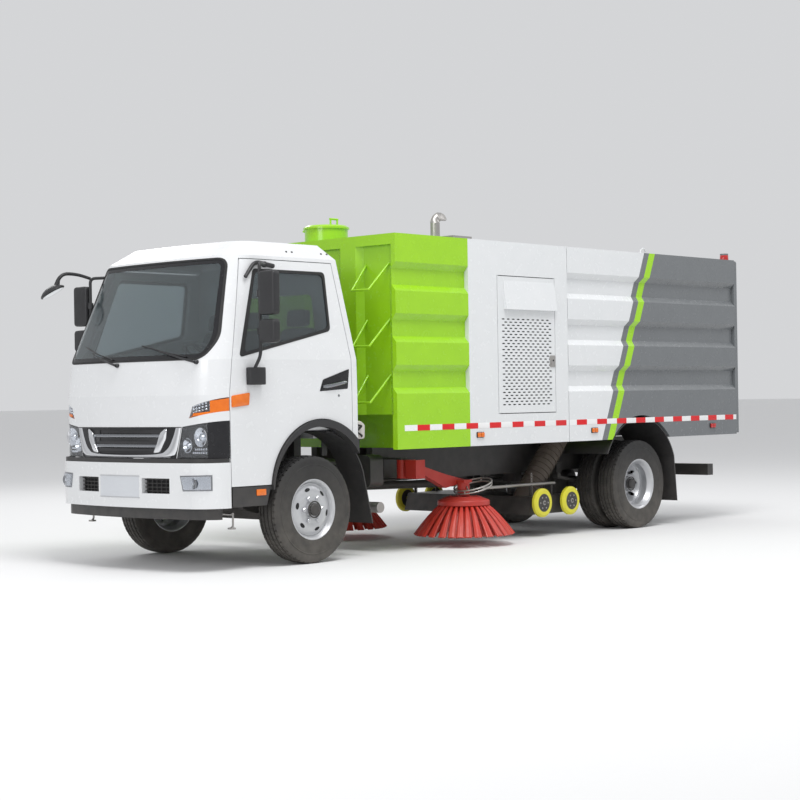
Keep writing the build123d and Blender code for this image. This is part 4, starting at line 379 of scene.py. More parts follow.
TAPE = BandTape("band_tape", (0.8, 0.8, 0.8), (0.66, 0.008, 0.012), Gloss.SATIN, relief=0.3,
                grain_scale=500.0)
STUDIO = Finish("studio_floor", (0.8, 0.8, 0.8), (0.79, 0.79, 0.79), Gloss.MATT, relief=0.0)


# Forms


class Form:
    """Collects surfaces worked out as arrays and turns them into one mesh object."""

    def __init__(self) -> None:
        """Start with no surface."""
        self.points: list[Array] = []
        self.quads: list[Array] = []
        self.tris: list[Array] = []
        self.count = 0

    def add(self, points: Array, quads: Array, tris: Array, closed: bool) -> "Form":
        """Add one surface; a closed one is turned to face outwards by the sign of its volume.

        Args:
            points: Places, one row each.
            quads: Four-cornered faces as rows of indices.
            tris: Three-cornered faces as rows of indices.
            closed: Whether the surface encloses a volume.

        Returns:
            This form.
        """
        if closed:
            fans = np.concatenate([quads[:, [0, 1, 2]], quads[:, [0, 2, 3]], tris])
            a, b, c = (points[fans[:, k]] for k in range(3))
            if np.einsum("ij,ij->i", a, np.cross(b, c)).sum() < 0:
                quads, tris = quads[:, ::-1], tris[:, ::-1]
        self.points.append(points)
        self.quads.append(quads + self.count)
        self.tris.append(tris + self.count)
        self.count += len(points)
        return self

    def surface(self, net: Array, close_u: bool = False, close_v: bool = False,
                caps: bool = False) -> "Form":
        """Add a net of places as a surface of quads.

        Args:
            net: Places by row and column.
            close_u: Whether the last row joins the first.
            close_v: Whether the last column joins the first.
            caps: Whether the first and last row are closed by fans about their middles.

        Returns:
            This form.
        """
        rows, columns, _ = net.shape
        index = np.arange(rows * columns).reshape(rows, columns)
        u = np.arange(rows if close_u else rows - 1)
        v = np.arange(columns if close_v else columns - 1)
        a, b = index[u][:, v], index[(u + 1) % rows][:, v]
        c, d = index[(u + 1) % rows][:, (v + 1) % columns], index[u][:, (v + 1) % columns]
        quads = np.stack([a, b, c, d], -1).reshape(-1, 4)
        points = net.reshape(-1, 3)
        tris = np.zeros((0, 3), int)
        if caps:
            points = np.vstack([points, net[0].mean(0), net[-1].mean(0)])
            step = (v + 1) % columns
            first = np.stack([np.full(len(v), rows * columns), index[0][v], index[0][step]], -1)
            last = np.stack([np.full(len(v), rows * columns + 1), index[-1][step], index[-1][v]], -1)
            tris = np.vstack([first, last])
        return self.add(points, quads, tris, (caps or close_u) and close_v)

    def plate(self, outline: Array, origin: Sequence[float], across: Sequence[float],
              up: Sequence[float], depth: float, edge: float = 0.002, steps: int = 3) -> "Form":
        """Add a flat plate with rounded edges.

        Args:
            outline: Closed outline, anticlockwise, as places along across and up.
            origin: Place of the outline's zero on the plate's back.
            across: Direction of the outline's first axis.
            up: Direction of the outline's second axis.
            depth: Thickness along across x up.
            edge: Radius of both rims, drawn in along the outline's own normals.
            steps: Rings in each rounded rim.

        Returns:
            This form.
        """
        x, y = np.array(across, float), np.array(up, float)
        out = np.cross(x, y)
        if twice_area(outline) < 0:
            outline = outline[::-1]
        turn = np.roll(outline, -1, 0) - np.roll(outline, 1, 0)
        normal = np.stack([turn[:, 1], -turn[:, 0]], -1)
        normal /= np.linalg.norm(normal, axis=1, keepdims=True) + 1e-12
        angle = np.linspace(0, math.pi / 2, steps + 1)
        inset = np.concatenate([edge * (1 - np.sin(angle)), edge * (1 - np.cos(angle))])
        level = np.concatenate([edge * (1 - np.cos(angle)), depth - edge * (1 - np.sin(angle))])
        ring = outline[None] - normal[None] * inset[:, None, None]
        net = (np.array(origin, float) + ring[..., :1] * x + ring[..., 1:] * y
               + level[:, None, None] * out)
        return self.surface(net, close_v=True, caps=True)

    def block(self, low: Sequence[float], high: Sequence[float], corner: float = 0.006,
              edge: float = 0.003) -> "Form":
        """Add a block between two corners with rounded uprights and rims.

        Args:
            low: Its lowest X, Y and Z.
            high: Its highest X, Y and Z.
            corner: Reach of each rounded upright.
            edge: Radius of the rims.

        Returns:
            This form.
        """
        length, width, height = np.array(high) - np.array(low)
        outline = rounded(oblong_from(0, 0, length, width), corner)
        return self.plate(outline, low, (1, 0, 0), (0, 1, 0), height, edge)

    def tube(self, path: Array, radius: float | Array, sides: int = 12,
             flat: float = 1.0, ring: bool = False) -> "Form":
        """Add a round bar along a path, its ring carried square to the path.

        Args:
            path: Places along the bar.
            radius: One radius, or one for each place.
            sides: Corners in each ring.
            flat: Share of the radius along the section's second axis.
            ring: Whether the path's last place joins its first.

        Returns:
            This form.
        """
        path = np.array(path, float)
        along = np.roll(path, -1, 0) - np.roll(path, 1, 0) if ring else np.gradient(path, axis=0)
        along /= np.linalg.norm(along, axis=1, keepdims=True)
        spread = np.ptp(path, axis=0)
        guide = np.eye(3)[int(np.argmin(spread))]
        first = np.cross(along, guide)
        first /= np.linalg.norm(first, axis=1, keepdims=True)
        second = np.cross(along, first)
        angle = whole_turn(sides)
        reach = np.broadcast_to(np.array(radius, float), (len(path),))[:, None, None]
        net = (path[:, None] + reach * (np.cos(angle)[None, :, None] * first[:, None]
                                        + flat * np.sin(angle)[None, :, None] * second[:, None]))
        return self.surface(net, close_u=ring, close_v=True, caps=not ring)

    def lathe(self, profile: Array, centre: Sequence[float], axis: int = 1, sides: int = 48,
              closed: bool = False) -> "Form":
        """Add a profile of places along an axis and radii, turned about it.

        Args:
            profile: Rows of place along the axis and radius.
            centre: A point on the axis, from which the places count.
            axis: 0, 1 or 2 for X, Y or Z.
            sides: Steps round the axis.
            closed: Whether the profile's end joins its start.

        Returns:
            This form.
        """
        profile = np.array(profile, float)
        angle = whole_turn(sides)
        u, v = (axis + 1) % 3, (axis + 2) % 3
        net = np.zeros((len(profile), sides, 3))
        net[..., axis] = profile[:, :1]
        net[..., u] = profile[:, 1:] * np.cos(angle)
        net[..., v] = profile[:, 1:] * np.sin(angle)
        net += np.array(centre, float)
        return self.surface(net, close_u=closed, close_v=True, caps=not closed)

    def piece(self, name: str, finish: Finish, body: str, slot: str = "",
              smooth_angle: float = 40.0) -> bpy.types.Object:
        """Make the object, give it its finish and let it ride on a body.

        Args:
            name: Object name.
            finish: Its finish.
            body: Body it rides on.
            slot: Material slot of the record it follows, if any; not used.
            smooth_angle: Edges sharper than this many degrees stay crisp.

        Returns:
            The object.
        """
        mesh = bpy.data.meshes.new(name)
        points = np.vstack(self.points).astype(np.float32)
        quads, tris = np.vstack(self.quads), np.vstack(self.tris)
        loops = np.concatenate([quads.ravel(), tris.ravel()]).astype(np.int32)
        sizes = np.concatenate([np.full(len(quads), 4), np.full(len(tris), 3)])
        starts = np.concatenate([[0], np.cumsum(sizes)[:-1]]).astype(np.int32)
        mesh.vertices.add(len(points))
        mesh.vertices.foreach_set("co", points.ravel())
        mesh.loops.add(len(loops))
        mesh.loops.foreach_set("vertex_index", loops)
        mesh.polygons.add(len(sizes))
        mesh.polygons.foreach_set("loop_start", starts)
        mesh.polygons.foreach_set("use_smooth", np.ones(len(sizes), bool))
        mesh.update(calc_edges=True)
        mesh.validate()
        mesh.set_sharp_from_angle(angle=math.radians(smooth_angle))
        mesh.materials.append(finish.material())
        made = bpy.data.objects.new(name, mesh)
        bpy.context.scene.collection.objects.link(made)
        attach(made, body)
        LOG.info("piece %s: %d faces on %s", name, len(sizes), body)
        return made


def rounded(corners: Line, radius: float, steps: int = 5) -> Array:
    """Round each corner of a closed outline.

    Args:
        corners: Corner places, anticlockwise.
        radius: Distance from each corner at which its bend starts.
        steps: Places in each bend, on a parabola through the bend's ends.

    Returns:
        Places round the outline.
    """
    middle = np.array(corners, float)
    back = np.roll(middle, 1, 0) - middle
    front = np.roll(middle, -1, 0) - middle
    back *= np.minimum(radius / np.linalg.norm(back, axis=1), 0.49)[:, None]
    front *= np.minimum(radius / np.linalg.norm(front, axis=1), 0.49)[:, None]
    t = np.linspace(0, 1, steps)[None, :, None]
    bend = ((1 - t) ** 2 * (middle + back)[:, None] + 2 * t * (1 - t) * middle[:, None]
            + t ** 2 * (middle + front)[:, None])
    return bend.reshape(-1, 2)


def oval(width: float, height: float, steps: int = 24) -> Array:
    """Places round an ellipse, anticlockwise."""
    angle = whole_turn(steps)
    return np.stack([width / 2 * np.cos(angle), height / 2 * np.sin(angle)], -1)


def oblong_from(left: float, low: float, right: float, high: float) -> Array:
    """Corners of an oblong, anticlockwise from its lower left."""
    return np.array(((left, low), (right, low), (right, high), (left, high)), float)


def outward(side: int, *profile: Pair) -> Array:
    """Profile about a level axis across the vehicle, turned to point outwards on one side."""
    return np.array(profile) * (side, 1)


def twice_area(outline: Array) -> float:
    """Twice the area inside a closed outline, below zero where it runs clockwise."""
    after = np.roll(outline, -1, 0)
    return float((outline[:, 0] * after[:, 1] - after[:, 0] * outline[:, 1]).sum())


def smooth_path(points: Line, steps: int = 8) -> Array:
    """Curve through points by Catmull-Rom blending of each four neighbours.

    Args:
        points: Places that it passes through.
        steps: Places from each point to the next.

    Returns:
        Places along the curve.
    """
    p = np.array(points, float)
    p = np.vstack([2 * p[0] - p[1], p, 2 * p[-1] - p[-2]])
    t = np.linspace(0, 1, steps, endpoint=False)[None, :, None]
    a, b, c, d = (p[k:len(p) - 3 + k][:, None] for k in range(4))
    curve = 0.5 * (2 * b + (c - a) * t + (2 * a - 5 * b + 4 * c - d) * t ** 2
                   + (3 * b - a - 3 * c + d) * t ** 3)
    return np.vstack([curve.reshape(-1, 3), p[-2]])


def bent(points: Line, radius: float, steps: int = 5) -> Array:
    """Line of straight runs whose inner corners are bends.

    Args:
        points: Its ends and corners.
        radius: Distance from each corner at which its bend starts.
        steps: Places in each bend, on a parabola through the bend's ends.

    Returns:
        Places along the line.
    """
    p = np.array(points, float)
    middle, back, front = p[1:-1], p[:-2] - p[1:-1], p[2:] - p[1:-1]
    back *= np.minimum(radius / np.linalg.norm(back, axis=1), 0.49)[:, None]
    front *= np.minimum(radius / np.linalg.norm(front, axis=1), 0.49)[:, None]
    t = np.linspace(0, 1, steps)[None, :, None]
    bend = ((1 - t) ** 2 * (middle + back)[:, None] + 2 * t * (1 - t) * middle[:, None]
            + t ** 2 * (middle + front)[:, None])
    return np.vstack([p[:1], bend.reshape(-1, 3), p[-1:]])


@dataclass(frozen=True)
class CabFace:
    """The cab's outside: levels of a bowed plan joined by straight rules.

    Each level holds a height and the plan's nose, shoulder, corner, shoulder half width and half
    width. Between levels every value changes in proportion to height. In plan the front is an arc
    through nose and shoulders, and each corner is an arc that leaves the side square.
    """

    levels: tuple[tuple[float, ...], ...] = (
        (0.734, 1.2699, 1.1883, 0.9295, 0.8572, 1.085),
        (1.53, 1.275, 1.1947, 0.9295, 0.8572, 1.085),
        (1.8351, 1.2444, 1.1654, 0.9002, 0.8496, 1.0785),
        (2.7599, 0.8453, 0.7905, 0.5597, 0.7595, 0.945),
        (2.9, 0.612, 0.5738, 0.3825, 0.651, 0.8029),
    )

    def at(self, z: Array, column: int) -> Array:
        """One of the plan's values at heights."""
        table = np.array(self.levels)
        return np.interp(z, table[:, 0], table[:, column])

    def front(self, y: Array, z: Array) -> Array:
        """X of the outside at places across and up.

        Args:
            y: Places across the cab.
            z: Heights.

        Returns:
            X in the part's frame.
        """
        nose, shoulder, corner, wide, half = (self.at(z, k) for k in range(1, 6))
        side = np.minimum(np.abs(y), half - 1e-6)
        bow = nose - (nose - shoulder) * (side / wide) ** 2
        run, rise = shoulder - corner, half - wide
        radius = (run ** 2 + rise ** 2) / (2 * rise)
        bend = corner + np.sqrt(np.clip(radius ** 2 - (side - half + radius) ** 2, 0, None))
        return FRONT_AXLE + np.where(side <= wide, bow, bend)

    def side(self, z: Array) -> Array:
        """Half width of the straight side at heights."""
        return self.at(z, 5)

    def patch(self, low: Array, high: Array, proud: float, columns: int = 24) -> Array:
        """Net on the cab's front between two edge lines.

        Args:
            low: Rows of y and z along one edge.
            high: Rows of y and z along the other edge.
            proud: Distance the net stands forward of the outside.
            columns: Columns between the edges.

        Returns:
            Places by row along the edges and column between them.
        """
        t = np.linspace(0, 1, columns)[None, :, None]
        flat = low[:, None] * (1 - t) + high[:, None] * t
        x = self.front(flat[..., 0], flat[..., 1]) + proud
        return np.concatenate([x[..., None], flat], -1)

    def nose(self, y: float, z: float) -> float:
        """X of the outside ahead of one place across and up."""
        return float(self.front(np.array(y), np.array(z)))

    def beside(self, z: float) -> float:
        """Distance of the outside from the middle plane at one height."""
        return float(self.side(np.array(z)))


CAB = CabFace()


def resampled(outline: Array, count: int) -> Array:
    """Walk a closed outline in equal steps.

    Args:
        outline: Places round it.
        count: Number of steps.

    Returns:
        Places round it, one for each step.
    """
    loop = np.vstack([outline, outline[:1]])
    run = np.concatenate([[0], np.cumsum(np.linalg.norm(np.diff(loop, axis=0), axis=1))])
    at = np.linspace(0, run[-1], count, endpoint=False)
    return np.stack([np.interp(at, run, loop[:, k]) for k in range(2)], -1)


def shell_on_cab(form: Form, outer: Array, inner: Array, proud: float, thick: float) -> Form:
    """Add a closed band on the cab's front between two outlines.

    Args:
        form: Form to add to.
        outer: Outer outline as y and z.
        inner: Inner outline with as many places.
        proud: Distance its face stands forward of the outside.
        thick: Thickness behind that face.

    Returns:
        The form.
    """
    rings = [(outer, proud - thick), (outer, proud), (inner, proud), (inner, proud - thick)]
    net = np.stack([np.concatenate([(CAB.front(o[:, 0], o[:, 1]) + out)[:, None], o], 1)
                    for o, out in rings])
    return form.surface(net, close_u=True, close_v=True)


def band_on_cab(form: Form, one: Line, other: Line, proud: float,
                bulge: float, thick: float, face: CabFace = CAB) -> Form:
    """Add a closed ribbon on the cab's front between two edge lines, swollen between them.

    Args:
        form: Form to add to.
        one: One edge as y and z.
        other: The other edge with as many places.
        proud: Distance its edges stand forward of the outside.
        bulge: How much further its middle stands.
        thick: Thickness behind the edges.
        face: Surface it follows.

    Returns:
        The form.
    """
    low, high = np.array(one, float), np.array(other, float)
    share = np.linspace(0, 1, 9)[None, :, None]
    flat = low[:, None] * (1 - share) + high[:, None] * share
    out = face.front(flat[..., 0], flat[..., 1])
    front = out + proud + bulge * np.sqrt(1 - (2 * share[..., 0] - 1) ** 2)
    net = np.concatenate([np.stack([front, flat[..., 0], flat[..., 1]], -1),
                          np.stack([out + proud - thick, flat[..., 0], flat[..., 1]], -1)[:, ::-1]], 1)
    return form.surface(net, close_v=True, caps=True)


# Studio


@dataclass(frozen=True)
class Lamp:
    """One soft rectangular light: where it stands, where it points, its size and power."""

    place: Triple
    aim: Triple
    size: Pair
    watts: float


@dataclass
class Studio:
    """Pale floor, soft lights and the camera."""

    eye: Triple = (14.027, 12.658, 1.48)
    yaw: float = -136.951
    pitch: float = -0.076
    roll: float = -0.929
    focal: float = 1789.3
    frame_side: float = 800.0
    sensor: float = 36.0
    floor_half: float = 300.0
    world_light: float = 0.68
    lamps: tuple[Lamp, ...] = (
        Lamp((4.0, 6.5, 15.0), (0.0, 0.0, 1.2), (6.0, 6.0), 1450.0),
        Lamp((15.0, 3.0, 6.0), (2.0, 0.0, 1.4), (6.0, 4.0), 380.0),
        Lamp((-12.0, 6.0, 10.0), (-2.0, 0.0, 1.4), (6.0, 4.0), 260.0),
        Lamp((-3.0, -11.0, 9.0), (0.0, 0.0, 1.4), (8.0, 4.0), 300.0),
    )

    def build(self) -> None:
        """Make floor, world, lights and camera."""
        self.floor()
        self.world()
        for number, lamp in enumerate(self.lamps):
            self.light(number, lamp)
        self.camera()

    def floor(self) -> None:
        """One wide square at the ground."""
        half = self.floor_half
        mesh = bpy.data.meshes.new("floor")
        mesh.from_pydata([(-half, -half, 0), (half, -half, 0), (half, half, 0), (-half, half, 0)], [],
                         [(0, 1, 2, 3)])
        mesh.materials.append(STUDIO.material())
        made = bpy.data.objects.new("floor", mesh)
        bpy.context.scene.collection.objects.link(made)

    def world(self) -> None:
        """Even pale light from all round."""
        world = bpy.data.worlds.new("studio")
        world.use_nodes = True
        back = world.node_tree.nodes["Background"]
        back.inputs["Color"].default_value = (0.97, 0.98, 1.0, 1.0)
        back.inputs["Strength"].default_value = self.world_light
        bpy.context.scene.world = world
        bpy.context.scene.view_settings.view_transform = "Standard"

    def light(self, number: int, lamp: Lamp) -> None:
        """Hang one rectangular lamp so that it faces its aim.

        Args:
            number: The lamp's number in its name.
            lamp: Its place, aim, size and power.
        """
        data = bpy.data.lights.new(f"soft_light_{number}", "AREA")
        data.shape = "RECTANGLE"
        data.size, data.size_y = lamp.size
        data.energy = lamp.watts
        made = bpy.data.objects.new(data.name, data)
        back = np.array(lamp.place) - np.array(lamp.aim)
        made.matrix_world = self.looking(lamp.place, back, (0.0, 0.0, 1.0))
        bpy.context.scene.collection.objects.link(made)

    def looking(self, place: Sequence[float], back: Array, up: Sequence[float]) -> Matrix:
        """Turn an object so that its own Z points back and its Y leans to up.

        Args:
            place: Where it stands.
            back: Direction of its own Z.
            up: Direction to which its own Y leans.

        Returns:
            Its world matrix.
        """
        z = back / np.linalg.norm(back)
        x = np.cross(np.array(up, float), z)
        x /= np.linalg.norm(x)
        turned = np.eye(4)
        turned[:3] = np.stack([x, np.cross(z, x), z, np.array(place, float)], 1)
        return Matrix(turned.tolist())

    def camera(self) -> None:
        """Camera at the photograph's place, turned by yaw, pitch and roll."""
        yaw, pitch, roll = (math.radians(a) for a in (self.yaw, self.pitch, self.roll))
        ahead_of = np.array([math.cos(yaw) * math.cos(pitch), math.sin(yaw) * math.cos(pitch),
                             math.sin(pitch)])
        right = np.cross(ahead_of, (0.0, 0.0, 1.0))
        right /= np.linalg.norm(right)
        up = np.cross(right, ahead_of)
        tilted = -math.sin(roll) * right + math.cos(roll) * up
        data = bpy.data.cameras.new("photo_camera")
        data.sensor_width = self.sensor
        data.lens = self.focal * self.sensor / self.frame_side
        data.clip_end = 600.0
        made = bpy.data.objects.new("photo_camera", data)
        made.matrix_world = self.looking(self.eye, -ahead_of, tilted)
        bpy.context.scene.collection.objects.link(made)
        bpy.context.scene.camera = made


# Finishes on the solids


@dataclass
class Coats:
    """Which finish each material slot and each named node wears."""

    slots: dict[str, Finish] = field(default_factory=lambda: {
        "cab_paint": CAB_WHITE, "tank_paint": TANK_LIME, "body_paint": BODY_WHITE,
        "hopper_paint": HOPPER_PAINT, "chassis_paint": CHASSIS_BLACK, "machine_metal": MACHINE_GREY,
        "bumper_paint": CAB_WHITE, "black_plastic": PLASTIC, "window_glass": WINDOW,
        "lamp_glass": LAMP_LENS, "seat_cloth": SEAT_CLOTH, "tyre_rubber": TYRE_RUBBER,
        "wheel_paint": WHEEL_SILVER, "brush_bristle": BRISTLE_RED, "arm_paint": ARM_RED,
        "wheel_yellow": YELLOW, "hose_rubber": RUBBER, "rod_chrome": CHROME, "exhaust_metal": STEEL,
    })
    nodes: dict[str, Finish] = field(default_factory=lambda: {
        "tailgate": SLATE_PAINT, "dashboard": DASH_GREY, "rear_mudguards": GUARD_BLACK,
        "front_mudguards": GUARD_BLACK, "cab_arches": GUARD_BLACK, "tank_lid": TANK_LIME,
        "lid_bracket": TANK_LIME, "suction_hose": HOSE_BROWN,
    })

    def build(self, frame: dict) -> None:
        """Give every solid its finish by node, or else by the slot it was packed with.
        """
        for name, node in frame["nodes"].items():
            for place in range(len(node.material_slots)):
                packed = node.material_slots[place].material.name.split(".")[0]
                finish = self.nodes.get(name, self.slots.get(packed, PLASTIC))
                node.material_slots[place].material = finish.material()
        LOG.info("finishes on %d solids", len(frame["nodes"]))


# Wheels


@dataclass
class Tyre:
    """Truck tyre with cut tread, turned about its axle.

    Sizes are metres. The outside is a profile of places across and radii; the tread's radius falls
    with the square of the place across, less the depth of the grooves that run round it and of the
    cuts across its ribs.
    """

    axle: Pair = (FRONT_AXLE, 0.487)
    radius: float = 0.487
    half_width: float = 0.118
    crown: float = 0.009
    tread_half: float = 0.099
    grooves: tuple[float, ...] = (-0.068, -0.024, 0.024, 0.068)
    groove_half: float = 0.0055
    groove_wall: float = 0.0016
    groove_depth: float = 0.012
    cut_depth: float = 0.009
    pitches: int = 52
    phases: tuple[float, ...] = (0.0, 0.03, 0.19, 0.22, 0.5, 0.53, 0.62, 0.65)
    shoulder_phases: Pair = (0.01, 0.2)
    rib_phases: Pair = (0.51, 0.64)
    shoulder_from: float = 0.074
    rib_to: float = 0.061
    rib_cut_share: float = 0.6
    extra_places: tuple[float, ...] = (-0.088, -0.046, 0.0, 0.046, 0.088)
    sidewall: Rows = (
        (0.09, 0.262), (0.106, 0.2685), (0.113, 0.288), (0.1165, 0.318), (0.118, 0.352),
        (0.1176, 0.378), (0.1163, 0.397), (0.1178, 0.399), (0.1178, 0.405), (0.115, 0.407),
        (0.1138, 0.428), (0.1142, 0.43), (0.1122, 0.447), (0.107, 0.463), (0.102, 0.473),
    )

    def across(self) -> Array:
        """Places across the tread, closer at each groove's walls."""
        walls = (-self.groove_half - self.groove_wall, -self.groove_half, self.groove_half,
                 self.groove_half + self.groove_wall)
        cuts = [groove + wall for groove in self.grooves for wall in walls]
        return np.sort(np.array([-self.tread_half, self.tread_half, *cuts, *self.extra_places]))

    def net(self, middle: float) -> Array:
        """Net of the whole tyre about its axle.

        Args:
            middle: Y of the tyre's middle plane.

        Returns:
            Places by row across the profile and column round the tyre.
        """
        turns = (np.arange(self.pitches)[:, None] + np.array(self.phases)[None]).ravel()
        angle = TAU * turns / self.pitches
        phase = np.tile(np.array(self.phases), self.pitches)
        across = self.across()
        depth = np.zeros((len(across), len(angle)))
        for groove in self.grooves:
            inside = np.abs(across - groove) < self.groove_half + self.groove_wall / 2
            depth[inside] = self.groove_depth
        shoulder_cut, rib_cut = ((phase > start) & (phase < stop)
                                 for start, stop in (self.shoulder_phases, self.rib_phases))
        outer = np.abs(across) > self.shoulder_from
        inner = (np.abs(across) < self.rib_to) & (depth[:, 0] == 0)
        depth[np.ix_(outer, shoulder_cut)] = self.cut_depth
        depth[np.ix_(inner, rib_cut)] = self.cut_depth * self.rib_cut_share
        tread = self.radius - self.crown * (across[:, None] / self.tread_half) ** 2 - depth
        side = np.array(self.sidewall)
        places = np.concatenate([-side[:, 0], across, side[::-1, 0]])
        flat = np.ones(len(angle))
        radii = np.vstack([side[:, 1:] * flat, tread, side[::-1, 1:] * flat])
        x = self.axle[0] + radii * np.cos(angle)
        z = self.axle[1] + radii * np.sin(angle)
        y = middle + places[:, None] * flat
        return np.stack([x, y, z], -1)

    def build(self, name: str, node: str, body: str, middles: Sequence[float]) -> None:
        """Make one piece of all tyres on a wheel and let it stand for the solid.

        Args:
            name: Object name.
            node: Solid it stands for.
            body: Body it rides on.
            middles: Y of each tyre's middle plane.
        """
        form = Form()
        for middle in middles:
            form.surface(self.net(middle), close_u=True, close_v=True)
        made = form.piece(name, TYRE_RUBBER, body, "tyre_rubber", smooth_angle=32.0)
        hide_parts(node)


@dataclass
class Wheels:
    """Tyres of all six wheels, the outer wheels' nuts and hub caps, and the front wheels' dishes.

    The dish is rows of distance from the middle plane and radius, the dome rows of length and share
    of the cap's radius, and the ring rows of length and radius.
    """

    rear_axle: float = FRONT_AXLE - 5.0
    height: float = 0.487
    front_middle: float = 0.985
    rear_middles: Pair = (0.992, 0.7)
    nut_circle: float = 0.111
    nut_radius: float = 0.0195
    nut_length: float = 0.02
    nuts: int = 6
    cap_radius: float = 0.058
    dome: Rows = (
        (0.0, 1.0), (0.01, 1.0), (0.018, 0.93), (0.024, 0.78), (0.027, 0.5), (0.028, 0.2))
    ring: Rows = ((0.0, 0.078), (0.006, 0.078), (0.006, 0.066), (0.0, 0.066))
    hand_holes: int = 6
    hole_circle: float = 0.186
    hole_turn: float = 0.21
    hole: Pair = (0.062, 0.031)
    hole_shares: tuple[float, ...] = (1.0, 1.0, 0.5, 0.1)
    hole_rises: tuple[float, ...] = (-0.003, 0.0006, 0.0007, 0.0007)
    rim_grow: float = 1.16
    dish_thick: float = 0.004
    dish: Rows = (
        (1.0775, 0.132), (1.079, 0.142), (1.0805, 0.16), (1.0775, 0.18), (1.07, 0.2), (1.06, 0.216),
        (1.0525, 0.226))

    def build(self) -> None:
        """Build both sides."""
        for hand, side in (("left", 1), ("right", -1)):
            Tyre().build(f"front_tread_{hand}", f"front_tyre_{hand}", f"front_wheel_{hand}_body",
                         [side * self.front_middle])
            Tyre(axle=(self.rear_axle, self.height)).build(
                f"rear_tread_{hand}", f"rear_tyres_{hand}", f"rear_wheels_{hand}_body",
                [side * m for m in self.rear_middles])
            self.dress(f"front_{hand}", f"front_wheel_{hand}_body", FRONT_AXLE, side, 1.077, 1.103)
            self.front_dish(hand, side)
            self.dress(f"rear_{hand}", f"rear_wheels_{hand}_body", self.rear_axle, side, 0.862, 0.985)

    def front_dish(self, hand: str, side: int) -> None:
        """Build the crowned silver dish of a front wheel, with long hand holes round it painted as dark
        ovals of shade.

        Args:
            hand: The side's name.
            side: 1 left, -1 right.
        """
        body = f"front_wheel_{hand}_body"
        front = np.array(self.dish)
        ring = np.concatenate([front, (front - (self.dish_thick, 0.0))[::-1]]) * (side, 1)
        dish = Form().lathe(ring, (FRONT_AXLE, 0.0, self.height), sides=72, closed=True)
        dish.piece(f"front_dish_{hand}", WHEEL_SILVER, body, "wheel_paint", 50.0)
        edge = oval(*self.hole, 20)
        share = np.array(self.hole_shares)[:, None, None]
        rise = np.array(self.hole_rises)[:, None]
        holes, rims = Form(), Form()
        for step in range(self.hand_holes):
            turn = self.hole_turn + TAU * step / self.hand_holes
            for form, grow, lift in ((rims, self.rim_grow, 0.0), (holes, 1.0, 0.0012)):
                flat = edge[None] * share * grow
                radius = self.hole_circle + flat[..., 1]
                angle = turn + flat[..., 0] / self.hole_circle
                y = np.interp(radius, front[:, 1], front[:, 0]) + rise + lift
                x, z = FRONT_AXLE + radius * np.cos(angle), self.height + radius * np.sin(angle)
                form.surface(np.stack([x, side * y, z], -1), close_v=True, caps=True)
        rims.piece(f"front_hole_rims_{hand}", WHEEL_SILVER, body, "wheel_paint")
        # Dark ovals on the dish: painted shade in its hand holes.
        holes.piece(f"front_holes_{hand}", HOLE_SHADE_AND_BLACK, body, "black_plastic")

    def dress(self, name: str, body: str, axle: float, side: int, face: float, hub_end: float) -> None:
        """Build the nuts and the dark hub cap with its ring.

        Args:
            name: Start of the pieces' names.
            body: Body they ride on.
            axle: X of the axle.
            side: 1 left, -1 right.
            face: Y of the disc's face.
            hub_end: Y of the hub's end.
        """
        nuts = Form()
        for step in range(self.nuts):
            turn = TAU * step / self.nuts
            centre = (axle + self.nut_circle * math.cos(turn), side * (face + 0.001),
                      self.height + self.nut_circle * math.sin(turn))
            profile = np.array([(0.0, self.nut_radius), (self.nut_length * 0.85, self.nut_radius),
                                (self.nut_length, self.nut_radius * 0.85)]) * (side, 1)
            nuts.lathe(profile, centre, sides=6)
        nuts.piece(f"{name}_nuts", CHROME, body, "wheel_paint", smooth_angle=20.0)
        end = (axle, side * hub_end, self.height)
        cap = Form().lathe(np.array(self.dome) * (side, self.cap_radius), end, sides=40)
        cap.lathe(outward(side, *self.ring), end, sides=40, closed=True)
        cap.piece(f"{name}_hub_cap", GUARD_BLACK, body, "black_plastic")


# Side brushes and nozzle


